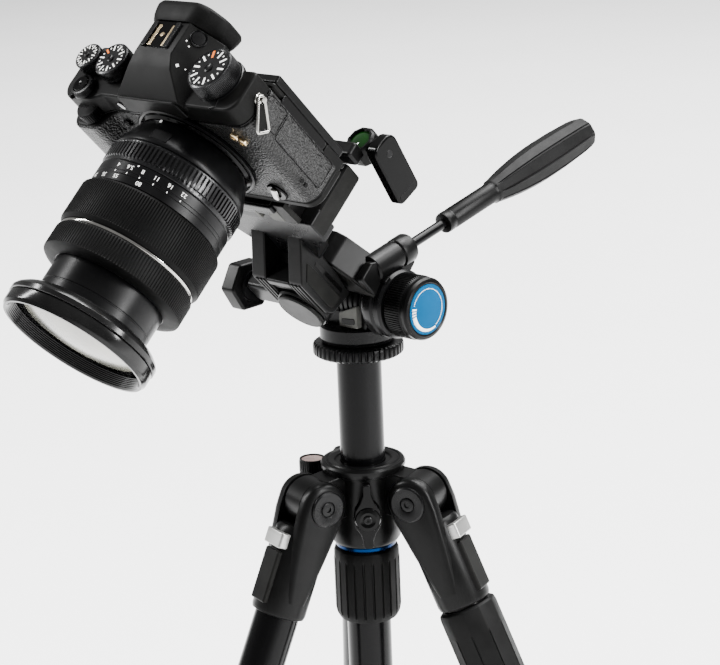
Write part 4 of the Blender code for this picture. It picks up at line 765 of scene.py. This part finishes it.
box("plate_top", (-26, -16, 104.5), (26, 30, 110.4), T, METAL, CAM, ("camera_plate",), edge=1.2)
box("plate_pad", (-24.5, -14.6, 110.2), (24.5, 28.6, 110.75), T, RUBBER, CAM, edge=0.2)
box("plate_tongue", (-20.4, -14, 99.4), (20.4, 28, 105), T, METAL, CAM, edge=0.8)
nodes["plate_screw"].material_slots[0].material = CHROME
nodes["battery"].material_slots[0].material = PLASTIC
nodes["image_sensor"].material_slots[0].material = DEEP_GLASS


# ---------------------------------------------------------------- camera body

def body_plan(inset, bulge, front=4.5):
    """The body from above. x to the camera's left, y to its back."""
    right, left, back = -73.9, 59.6, 30.0
    return [(left - inset, back - inset), (left - inset, front + inset), (right + 32, front + inset),
        (right + 24, front - bulge + inset), (right + 5, front - bulge + inset), (right + inset,
        front + 2 + inset), (right + inset, back - inset)]


PLAN_R = [3, 8, 8, 8, 9, 9, 3]
slab("body_case", rounded(body_plan(0.5, 12.0), PLAN_R), -40.9, 27.1, F, BODY, CAM,
    ("body_shell",), edge=1.6)
slab("body_wrap", rounded(body_plan(0.0, 12.5), PLAN_R), -35.6, 26.4, F, LEATHER, CAM,
    edge=0.7)
slab("body_base", rounded(body_plan(0.15, 11.6), PLAN_R), -40.95, -36.2, F, BODY, CAM, edge=1.4)

# left side: two doors outlined by grooves, a hinge bar and speaker holes
LEFT_X = 59.6
DOOR = joint_place("port_door_swing") @ turn(TILT, "X") @ at(-LEFT_X, -27.2, 0)
door_outline = rounded([(12.9, -32.2), (27.1, -32.2), (27.1, 8.9), (18.6, 8.9), (12.9, 3.2)], 1.2)
side("door_panel", door_outline, LEFT_X - 1.2, LEFT_X - 0.1, DOOR, LEATHER, "port_door",
    ("port_door",), edge=0.3)
side("door_edge", rect(12.6, -32.4, 27.2, 9.0, 1.4), LEFT_X - 1.3, LEFT_X - 0.35, DOOR, BODY, "port_door",
    edge=0.2)


def groove(name, points, body):
    wire(name, [(LEFT_X + 0.02, y, z) for y, z in points], 0.28, F, GLOSS, body, cyclic=True)


groove("door_gap", rect(12.2, -32.7, 27.5, 9.3, 1.6), CAM)
groove("upper_door_gap", rounded([(13.2, 10.4), (27.4, 10.4), (27.4, 25.6), (18.0, 25.6), (13.2, 20.6)],
    1.6), CAM)
side("hinge_bar", rect(28.0, -22, 33.6, 18, 2.2), LEFT_X - 3.2, LEFT_X - 0.2, F, GLOSS, CAM, edge=0.8)
side("hinge_cover", rect(26.8, -38.5, 33.4, -22.6, 1.6), LEFT_X - 2.6, LEFT_X - 0.15, F, BODY, CAM,
    edge=0.6)
for k, z in enumerate((-24.4, -20.8)):
    side(f"speaker_hole_{k + 1}", rect(6.8, z - 1.0, 9.6, z + 1.0, 0.9), LEFT_X - 0.5, LEFT_X + 0.08, F,
        GLOSS, CAM, edge=0.1)
# strap lug, ring and its tab
lathe("lug_left", [(0, -0.4), (3.2, -0.4), (3.2, 0.3), (2.6, 0.7), (0.95, 0.9), (0.95, 3.4), (1.5, 3.5),
    (1.5, 3.9), (0, 4.0)], F @ at(LEFT_X, 20.2, 30.5) @ TO_X, CHROME, CAM, steps=48)
lathe("lug_right", [(0, -0.4), (3.2, -0.4), (3.2, 0.3), (2.6, 0.7), (0.95, 0.9), (0.95, 3.4), (1.5, 3.5),
    (1.5, 3.9), (0, 4.0)], F @ at(-73.9, 15.5, 30.5) @ TO_MINUS_X, CHROME, CAM, steps=48)
for label, sign in SIDES:
    ring_place = joint_place(f"strap_ring_{label}_swing")
    loop = rounded([(-1.9, 1.6), (1.9, 1.6), (4.0, -16.4), (-4.0, -16.4)], [1.5, 1.5, 1.5, 1.5])
    wire(f"strap_loop_{label}", [(sign * 1.5, y, z) for y, z in loop], 0.85, ring_place, CHROME,
        f"strap_ring_{label}", cyclic=True, replaced=(f"strap_ring_{label}",))
    if label == "left":
        tab_outline = rounded([(-2.4, -2.6), (2.4, -2.6), (4.4, -14.8), (-4.4, -14.8)], 1.0)
        side("strap_tab", tab_outline, 0.8, 1.5, ring_place, BODY, "strap_ring_left", edge=0.25)

# front details
lathe("mount_collar", [(31.3, -4.4), (34.6, -4.4), (35.0, -3.6), (35.0, -2.6), (34.2, -2.1), (32.6, -2.2),
    (31.3, -2.6)], LENS, LENS_PAINT, CAM, steps=160, closed=True)
lathe("mount_step", [(29.5, -4.6), (33.0, -4.6), (33.0, -1.6), (31.6, -0.35), (29.5, -0.35)], LENS, GLOSS,
    CAM, steps=160, closed=True)
lathe("assist_lamp", [(0, 0), (2.6, 0), (2.6, 0.6), (2.0, 0.9), (0, 1.0)], F @ at(-31.5, 4.2,
    33.4) @ TO_FRONT, SCREEN, CAM, steps=32)
lathe("function_button", [(0, 0), (2.9, 0), (2.9, 0.5), (2.3, 1.1), (1.6, 0.9), (0, 0.8)], F @ at(-39.5,
    3.6, 18) @ TO_FRONT, METAL, CAM, steps=32)
for k, (x, z) in enumerate(((44.8, 19.6), (48.0, 15.6))):
    lathe(f"sync_socket_{k + 1}", [(0, 0), (2.5, 0), (2.5, 1.5), (2.0, 2.0), (1.2, 1.9), (1.0, 1.0),
        (0, 1.0)], F @ at(x, 4.4, z) @ TO_FRONT, BRASS, CAM, steps=32)
lathe("focus_switch_base", [(0, 0), (6.2, 0), (6.2, 0.7), (5.6, 1.3), (0, 1.3)], F @ at(38, 4.5,
    -28.5) @ TO_FRONT, GLOSS, CAM, steps=48)
slab("focus_switch_lever", rounded([(-1.8, -4.8), (1.8, -4.8), (2.2, 5.2), (-2.2, 5.2)], 1.6), 1.1, 3.0,
    F @ at(38, 4.5, -28.5) @ TO_FRONT @ turn(-25, "Z"), CHROME, CAM, edge=0.7)
lathe("front_dial_wheel", [(0, -3.2), (7.6, -3.2), (8.0, -2.6, 0.5), (8.0, 2.6, 0.5), (7.6, 3.2),
    (0, 3.2)], F @ at(-56.5, 1.6, 30.6), METAL, CAM, teeth=40)
lathe("lens_release", [(0, 0), (4.6, 0), (4.6, 1.4), (3.9, 2.1), (0, 2.2)], F @ at(-40.5, 4.4,
    -16) @ TO_FRONT, METAL, CAM, steps=48)

# ---------------------------------------------------------------- camera top

top_plan = rounded(body_plan(0.1, 3.6, 4.5), PLAN_R)
slab("top_deck", top_plan, 27.4, 40.4, F, BODY, CAM, ("top_plate",), edge=1.4)
slab("top_line", rounded(body_plan(-0.05, 3.7, 4.5), PLAN_R), 27.2, 28.0, F, GLOSS, CAM, edge=0.2)
HX0 = -3.0
hump_points = []
for sign in (-1, 1):
    hump_points += [(HX0 + sign * x, y, z) for x, y, z in ((27, 4.2, 39), (24.2, 3.9, 42.5),
        (16.4, 17, 52.4), (14, 24.5, 55.4), (14, 44.4, 55.4), (27, 44.4, 39), (27, 4.2, 36),
        (27, 44.4, 36))]
hump_faces = [(1, 9, 10, 2), (2, 10, 11, 3), (3, 11, 12, 4), (0, 1, 2, 3, 4, 5), (8, 13, 12, 11, 10, 9),
    (6, 14, 8, 9, 1, 0), (5, 4, 12, 13, 15, 7), (6, 0, 5, 7), (14, 15, 13, 8), (6, 7, 15, 14)]
solid("hump", hump_points, hump_faces, F, BODY, CAM, edge=0.7)
front_apron = rounded([(HX0 - 24, 31), (HX0 + 24, 31), (HX0 + 22, 43.4), (HX0 - 22, 43.4)], 2)
slab("hump_apron", front_apron, -4.4, -2.6, F @ TO_FRONT, BODY, CAM, edge=0.8)
marks("hump_mark", [F @ at(HX0 + 17.8, 21.0, 50.8) @ turn(51.6, "Y") @ turn(45, "Z")], (1.5, 1.5, 0.12),
    WHITE, CAM)
for n, (x, y, z) in enumerate(((16.0, 35.0, 53.0), (17.6, 33.0, 51.0), (20.6, 21.5, 47.3))):
    marks(f"hump_dot_{n + 1}", [F @ at(HX0 + x, y, z) @ turn(51.6, "Y")], (0.7, 0.7, 0.12), WHITE, CAM)
# hot shoe: rails over a pale spring
shoe = F @ at(HX0 - 1, 35.6, 55.45)
box("shoe_floor", (-9.5, -8.5, -0.2), (9.5, 8.0, 0.15), shoe, GLOSS, CAM, edge=0.1)
for label, sign in SIDES:
    low, high = sorted((sign * 9.6, sign * 7.0))
    box(f"shoe_rail_{label}", (low, -8.4, 0.9), (high, 7.4, 1.6), shoe, METAL, CAM, edge=0.25)
    low, high = sorted((sign * 9.8, sign * 9.0))
    box(f"shoe_wall_{label}", (low, -8.4, -0.1), (high, 7.4, 1.3), shoe, METAL, CAM, edge=0.2)
    low, high = sorted((sign * 6.6, sign * 4.2))
    box(f"shoe_spring_{label}", (low, -7.0, 0.1), (high, 6.0, 0.5), shoe, BRASS, CAM, edge=0.15)
lathe("shoe_contact", [(0, 0.1), (1.3, 0.1), (1.3, 0.4), (0, 0.5)], shoe, BRASS, CAM, steps=24)


def dial(name, radius, height, tall, teeth, body, node_name, red=()):
    """A knurled dial with a milled skirt, a black face, white ticks and a centre lock."""
    place = joint_place(f"{name}_turn") @ turn(TILT, "X")
    base = 1.2
    lathe(f"{name}_skirt", [(0, 0), (radius - 0.6, 0), (radius - 0.2, 0.5), (radius - 0.2, base),
        (radius, base + 0.5, 0.35), (radius, height - 1.0, 0.35), (radius - 0.5, height - 0.3),
        (radius - 1.4, height), (radius - 1.8, height - 0.25), (0, height - 0.25)], place, RIB_METAL,
        body, (node_name,), teeth=teeth, duty=0.5, ramp_part=0.2)
    lathe(f"{name}_face", [(0, height - 0.3), (radius - 1.9, height - 0.3), (radius - 2.0, height - 0.12),
        (0, height - 0.1)], place, LENS_PAINT, body, steps=64)
    long_ticks = [place @ turn(a, "Z") @ at(x=radius * 0.66, z=height - 0.06) for a in range(0, 360, 36)]
    short_ticks = [place @ turn(a + 18, "Z") @ at(x=radius * 0.72, z=height - 0.06) for a in range(0, 360,
        36)]
    marks(f"{name}_ticks", long_ticks, (radius * 0.32, radius * 0.08, 0.1), WHITE, body)
    marks(f"{name}_dots", short_ticks, (0.9, 0.7, 0.1), WHITE, body)
    if red:
        marks(f"{name}_warm_tick", [place @ turn(a, "Z") @ at(x=radius * 0.66, z=height - 0.03)
            for a in red], (radius * 0.34, radius * 0.1, 0.12), RED_INK, body)
    lathe(f"{name}_lock", [(0, height - 0.2), (tall, height - 0.2), (tall, height + 0.25),
        (tall * 0.75, height + 0.5), (tall * 0.5, height + 0.2), (0, height + 0.15)], place, METAL, body,
        steps=40)
    return place


sens = dial("sensitivity_dial", 13.0, 10.3, 2.6, 96, "sensitivity_dial", "sensitivity_dial", (108,))
dial("shutter_speed_dial", 10.5, 7.8, 2.2, 84, "shutter_speed_dial", "shutter_speed_dial", (144,))
dial("exposure_dial", 8.0, 8.8, 1.6, 72, "exposure_dial", "exposure_dial")
lathe("drive_ring", [(0, 0.1), (13.2, 0.1), (13.7, 0.6), (13.7, 3.0), (13.2, 3.5), (0, 3.5)],
    sens @ at(z=-3.6), METAL, CAM, steps=96)
slab("drive_lever", rounded([(-3, 11), (3, 11), (2.2, 17.6), (-2.2, 17.6)], 1), -2.4, 0.2,
    sens @ turn(200, "Z"), METAL, CAM, edge=0.6)
button = joint_place("power_switch_turn") @ turn(TILT, "X")
lathe("power_ring", [(5.3, 0), (7.0, 0), (7.0, 2.6, 0.2), (6.4, 3.8, 0.0), (5.3, 4.0)], button, METAL,
    "power_switch", ("power_switch",), teeth=48, closed=True)
slab("power_tab", rounded([(-1.4, 6), (1.4, 6), (1.1, 9.4), (-1.1, 9.4)], 0.8), 0.6, 3.4,
    button @ turn(150, "Z"), METAL, "power_switch", edge=0.5)
lathe("release_button", [(0, 0), (4.9, 0), (4.9, 4.0), (4.5, 4.7), (3.6, 4.8), (1.3, 4.4), (1.0, 4.0),
    (0, 4.0)], button, GLOSS, "shutter_button", ("shutter_button",), steps=64)
lathe("flank_button", [(0, -0.4), (4.7, -0.4), (4.7, 0.5), (4.3, 0.9), (3.9, 0.6), (3.7, 0.2), (3.5, 0.5),
    (0, 0.8)], F @ at(HX0 + 18.7, 39.4, 49.4) @ turn(51.6, "Y"), METAL, CAM, steps=48)
lathe("top_button", [(0, 0), (2.6, 0), (2.6, 1.0), (2.1, 1.4), (0, 1.4)], F @ at(-62.0, 30.5, 40.3),
    METAL, CAM, steps=32)

# ---------------------------------------------------------------- camera back

nodes["rear_cover"].material_slots[0].material = BODY
screen_place = joint_place("monitor_swing") @ turn(TILT, "X")
box("monitor_shell", (-92, -2.6, -31), (0, 2.6, 31), screen_place, PLASTIC, "monitor", ("monitor",),
    edge=1.2)
box("monitor_glass", (-87, 2.3, -27.5), (-5, 2.75, 27.5), screen_place, SCREEN, "monitor",
    edge=0.3)
box("monitor_window", (-84, 2.6, -24.5), (-9, 2.85, 24.5), screen_place, GLOSS, "monitor",
    edge=0.1)
BACK_Y = 33.8
for k, (x, z) in enumerate(((-52.5, 22.0), (-63.0, 22.0), (-44.0, 25.0))):
    lathe(f"rear_button_{k + 1}", [(0, 0), (2.5, 0), (2.5, 1.0), (2.0, 1.5), (0, 1.5)],
        F @ at(x, BACK_Y - 0.2, z) @ TO_BACK, METAL, CAM, steps=32)
lathe("rear_stick", [(0, 0), (4.0, 0), (4.0, 0.8), (2.0, 1.0), (1.4, 2.4), (2.4, 3.0), (2.2, 3.6),
    (0, 3.8)], F @ at(-45.5, BACK_Y - 0.2, 8) @ TO_BACK, METAL, CAM, steps=40)
lathe("rear_pad", [(0, 0), (8.2, 0), (8.2, 1.0), (7.6, 1.6), (5.4, 1.5), (4.8, 0.9), (3.4, 0.9),
    (3.0, 1.5), (0, 1.6)], F @ at(-53, BACK_Y - 0.2, -10) @ TO_BACK, METAL, CAM)
lathe("rear_small_button", [(0, 0), (2.2, 0), (2.2, 0.9), (1.8, 1.3), (0, 1.3)], F @ at(-50, BACK_Y - 0.2,
    -26) @ TO_BACK, METAL, CAM, steps=32)
thumb = rounded([(-72, 10), (-62, 14), (-58, 30), (-60, 38), (-72, 38)], 4)
slab("thumb_rest", [(x, z) for x, z in thumb], -BACK_Y - 3.6, -BACK_Y + 0.6, F @ TO_FRONT, GRIP_WRAP, CAM,
    edge=2.2)

cup_y = 44.6
outline = rounded([(HX0 - 26, 28.5), (HX0 + 26, 28.5), (HX0 + 26, 44.5), (HX0 + 18.2, 58.5),
    (HX0 - 18.2, 58.5), (HX0 - 26, 44.5)], [6, 6, 16, 13, 13, 16], 9)


cup_middle = Vector((HX0, 43.0))
cup_rows = []
# depth from the mount, scale of the outline about its middle
for depth, scale in ((0.0, 0.84), (1.2, 0.90), (4.0, 0.955), (7.5, 0.99), (9.6, 1.0), (11.0, 0.97),
        (11.4, 0.90), (10.4, 0.80), (7.6, 0.68), (5.0, 0.60), (4.4, 0.56)):
    spots = [cup_middle + (Vector(spot) - cup_middle) * scale for spot in outline]
    cup_rows.append([(p.x, cup_y + depth, p.y) for p in spots])
stack("eyecup_rubber", cup_rows, F, RUBBER, CAM, ("eyecup",))
box("finder_window", (HX0 - 10, cup_y + 3.4, 36), (HX0 + 10, cup_y + 4.6, 50), F, DEEP_GLASS, CAM,
    edge=1.0)
box("finder_block", (HX0 - 20, 33.0, 30.5), (HX0 + 20, cup_y + 0.2, 46.0), F, BODY, CAM, edge=2.0)

# ---------------------------------------------------------------- lens

lathe("lens_body", [(31.3, 84.6), (34.6, 84.6), (34.9, 83.0), (34.9, 42.7), (37.6, 42.7), (38.0, 42.2),
    (38.0, 38.2), (37.8, 38.0), (38.0, 37.8), (38.0, 36.2), (37.8, 36.0), (38.0, 35.8), (38.0, 30.8),
    (37.5, 30.3), (34.9, 30.3), (34.9, 16.7), (36.9, 16.7), (37.4, 16.2), (37.5, 15.0), (36.9, 12.5),
    (34.8, 8.0), (33.2, 4.0), (32.2, 1.2), (31.6, 0.4), (22.0, 0.4), (22.0, 26.0), (31.3, 26.0)], LENS,
    LENS_PAINT, CAM, ("lens_barrel",), steps=192, closed=True)
lathe("aperture_grip", [(35.2, 17.0), (37.4, 17.0), (37.8, 17.5), (37.8, 18.4), (38.6, 18.9, 1.1),
    (38.6, 27.2, 1.1), (37.7, 27.8), (37.7, 29.5), (37.3, 30.0), (35.2, 30.0)], LENS, RIB_METAL,
    "aperture_ring", ("aperture_ring",), teeth=96, duty=0.56, ramp_part=0.06, closed=True)
lathe("zoom_grip", [(35.2, 43.0), (38.4, 43.0), (39.5, 43.5), (40.3, 44.4, 0.0), (40.5, 45.0, 0.55),
    (40.5, 64.4, 0.55), (40.2, 65.2, 0.0), (38.6, 67.2), (35.2, 67.4)], LENS, RUBBER, "zoom_ring",
    ("zoom_ring",), teeth=170, duty=0.55, ramp_part=0.14, closed=True)
lathe("zoom_line", [(35.2, 67.55), (38.3, 67.55), (38.6, 67.8), (38.6, 68.5), (38.3, 69.0), (35.2, 69.0)],
    LENS, CHROME, CAM, steps=192, closed=True)
lathe("focus_grip", [(31.7, 84.8), (33.6, 85.0), (36.4, 84.4), (38.8, 83.4), (39.6, 82.8, 0.0),
    (39.8, 82.0, 0.5), (39.8, 71.0, 0.5), (39.5, 70.2, 0.0), (38.6, 69.4), (35.2, 69.4), (35.2, 83.6),
    (31.7, 83.6)], LENS, RUBBER, "focus_ring", ("focus_ring",), teeth=150, duty=0.55, ramp_part=0.14,
    closed=True)
lathe("inner_tube", [(28.8, 104.0), (31.0, 104.0), (31.0, 99.0), (30.75, 98.7), (30.75, 98.2),
    (31.0, 97.9), (31.0, 48.0), (28.8, 48.0)], LENS, LENS_PAINT, "inner_barrel", ("inner_barrel",),
    steps=192, closed=True)
lathe("front_rim", [(33.0, 112.0), (41.4, 112.0), (42.0, 111.6), (42.0, 109.2), (41.0, 107.6),
    (38.4, 105.4), (37.0, 104.6), (35.0, 104.4), (28.8, 104.4), (28.8, 106.0), (30.6, 107.4),
    (31.0, 109.6), (32.0, 110.8)], LENS, LENS_GLOSS, "inner_barrel", ("front_ring",), steps=192,
    closed=True)
thread = [(41.2, 112.35), (41.5, 112.8), (41.5, 117.8), (41.2, 118.5), (40.6, 119.2), (40.2, 120.0),
    (38.9, 120.0)]
for k in range(7):
    thread += [(38.5, 119.6 - k), (38.0, 119.1 - k)]
thread += [(36.4, 112.8), (33.0, 112.35)]
lathe("filter_rim", thread, LENS, LENS_GLOSS, "filter_ring", ("filter_ring",), steps=192, closed=True)
lathe("inner_baffle", [(33.0, 112.0), (32.2, 110.6), (31.4, 108.0), (29.6, 101.0), (28.3, 100.0),
    (28.3, 99.4), (29.9, 100.2), (32.0, 108.4), (32.8, 111.4)], LENS, GLOSS, "inner_barrel",
    steps=160, closed=True)
dome = []
for k in range(13):
    r = 32.6 * k / 12
    dome.append((r, 117.2 - 4.6 * (r / 32.6) ** 2))
lathe("front_lens", dome + [(32.6, 112.1), (28.0, 112.0), (28.0, 88.0), (0, 88.0)], LENS, PAINTED_REFLECTION_GLASS,
    "inner_barrel", ("front_element",), steps=160)

def surface(radius, s, degrees):
    """On the lens, degrees from the top towards the camera's left: Z outwards, Y forwards, X to the right."""
    a = math.radians(degrees)
    out = Vector((math.sin(a), 0, math.cos(a)))
    forward = Vector((0, -1, 0))
    across = forward.cross(out)
    basis = Matrix((across, forward, out)).transposed().to_4x4()
    return F @ Matrix.Translation(Vector((out.x * radius, -s, out.z * radius)) * MM) @ basis


plate_spot = [(-5.2, -3.2), (5.2, -3.2), (5.2, 3.2), (-5.2, 3.2)]
slab("base_cover", rounded(plate_spot, 0.8), -0.2, 0.35, surface(36.2, 10.8, 20) @ turn(14, "X"),
    LENS_PAINT, CAM, edge=0.15)
# scales: generic numbers on the aperture ring and the zoom band. They read from behind the camera.
for k, (words, angle) in enumerate((("22", 62), ("16", 50), ("11", 38), ("8", 26), ("5.6", 14),
        ("4", 2))):
    figure(f"aperture_number_{k + 1}", words, 3.3, surface(38.05, 33.2, angle), WHITE, CAM)
for k, (words, angle) in enumerate((("80", 28), ("55", 6), ("35", -8), ("23", -22), ("16", -36))):
    figure(f"focal_number_{k + 1}", words, 3.3, surface(38.05, 39.9, angle), WHITE, CAM)
marks("scale_ticks", [surface(38.02, 36.9, a) for a in (2, 14, 26, 38, 50, 62)], (0.4, 1.0, 0.1), WHITE,
    CAM)
marks("lens_index", [surface(38.02, 31.3, 20)], (0.8, 0.8, 0.12), WHITE, CAM)
marks("mount_index", [surface(33.6, 1.9, 8)], (1.4, 1.4, 0.16), WHITE, CAM)


# ---------------------------------------------------------------- floor, lights and camera

def soft_light(name, energy, wide, tall, place, target):
    """A rectangular light that faces its target, in metres and watts."""
    data = bpy.data.lights.new(name, "AREA")
    data.energy = energy
    data.shape = "RECTANGLE"
    data.size = wide
    data.size_y = tall
    made = bpy.data.objects.new(name, data)
    bpy.context.scene.collection.objects.link(made)
    made.location = place
    made.rotation_euler = (Vector(target) - Vector(place)).to_track_quat("-Z", "Y").to_euler()


floor_mesh = bpy.data.meshes.new("floor")
floor_mesh.from_pydata([(-30, -30, 0), (30, -30, 0), (30, 30, 0), (-30, 30, 0)], [], [(0, 1, 2, 3)])
floor = bpy.data.objects.new("floor", floor_mesh)
bpy.context.scene.collection.objects.link(floor)
floor_mesh.materials.append(finish("pale_floor", 0.90, 0.93, (0.85, 0.95), 0.0, 200, 0.00001, 0.05, 2.0))

world = bpy.data.worlds.new("studio")
bpy.context.scene.world = world
world.use_nodes = True
backdrop = world.node_tree.nodes["Background"]
backdrop.inputs["Color"].default_value = (1.0, 1.0, 1.0, 1.0)
backdrop.inputs["Strength"].default_value = 0.45

centre = (0.0, -0.06, 0.55)
for light in (("overhead", 1500, 5.0, 5.0, (0.6, 2.4, 5.0), (0.0, 1.2, 0.0)), ("key", 60, 0.16, 1.3,
        (-1.5, -1.0, 1.5), centre), ("rim", 60, 0.14, 1.2, (1.5, 0.2, 1.1), centre), ("top", 16, 0.3, 0.3,
        (0.1, 0.5, 1.9), centre)):
    soft_light(*light)

# the view
CAMERA_AZIMUTH, CAMERA_ELEVATION, CAMERA_ROLL = 45.09, 15.40, -2.28
CAMERA_PLACE = Vector((802.3, -798.0, 323.65 + PLATE_Z)) * MM
CAMERA_FOCAL = 2043.4 / 720 * 36
az, el, roll = (math.radians(v) for v in (CAMERA_AZIMUTH, CAMERA_ELEVATION, CAMERA_ROLL))
forward = Vector((-math.sin(az) * math.cos(el), math.cos(az) * math.cos(el), -math.sin(el)))
right = Vector((math.cos(az), math.sin(az), 0))
up = right.cross(forward)
right_rolled = right * math.cos(roll) + up * math.sin(roll)
up_rolled = up * math.cos(roll) - right * math.sin(roll)
view = bpy.data.cameras.new("view")
view.lens = CAMERA_FOCAL
view.sensor_width = 36
view.clip_start = 0.01
eye = bpy.data.objects.new("view", view)
bpy.context.scene.collection.objects.link(eye)
eye.matrix_world = Matrix.Translation(CAMERA_PLACE) @ Matrix((right_rolled, up_rolled,
    -forward)).transposed().to_4x4()
bpy.context.scene.camera = eye
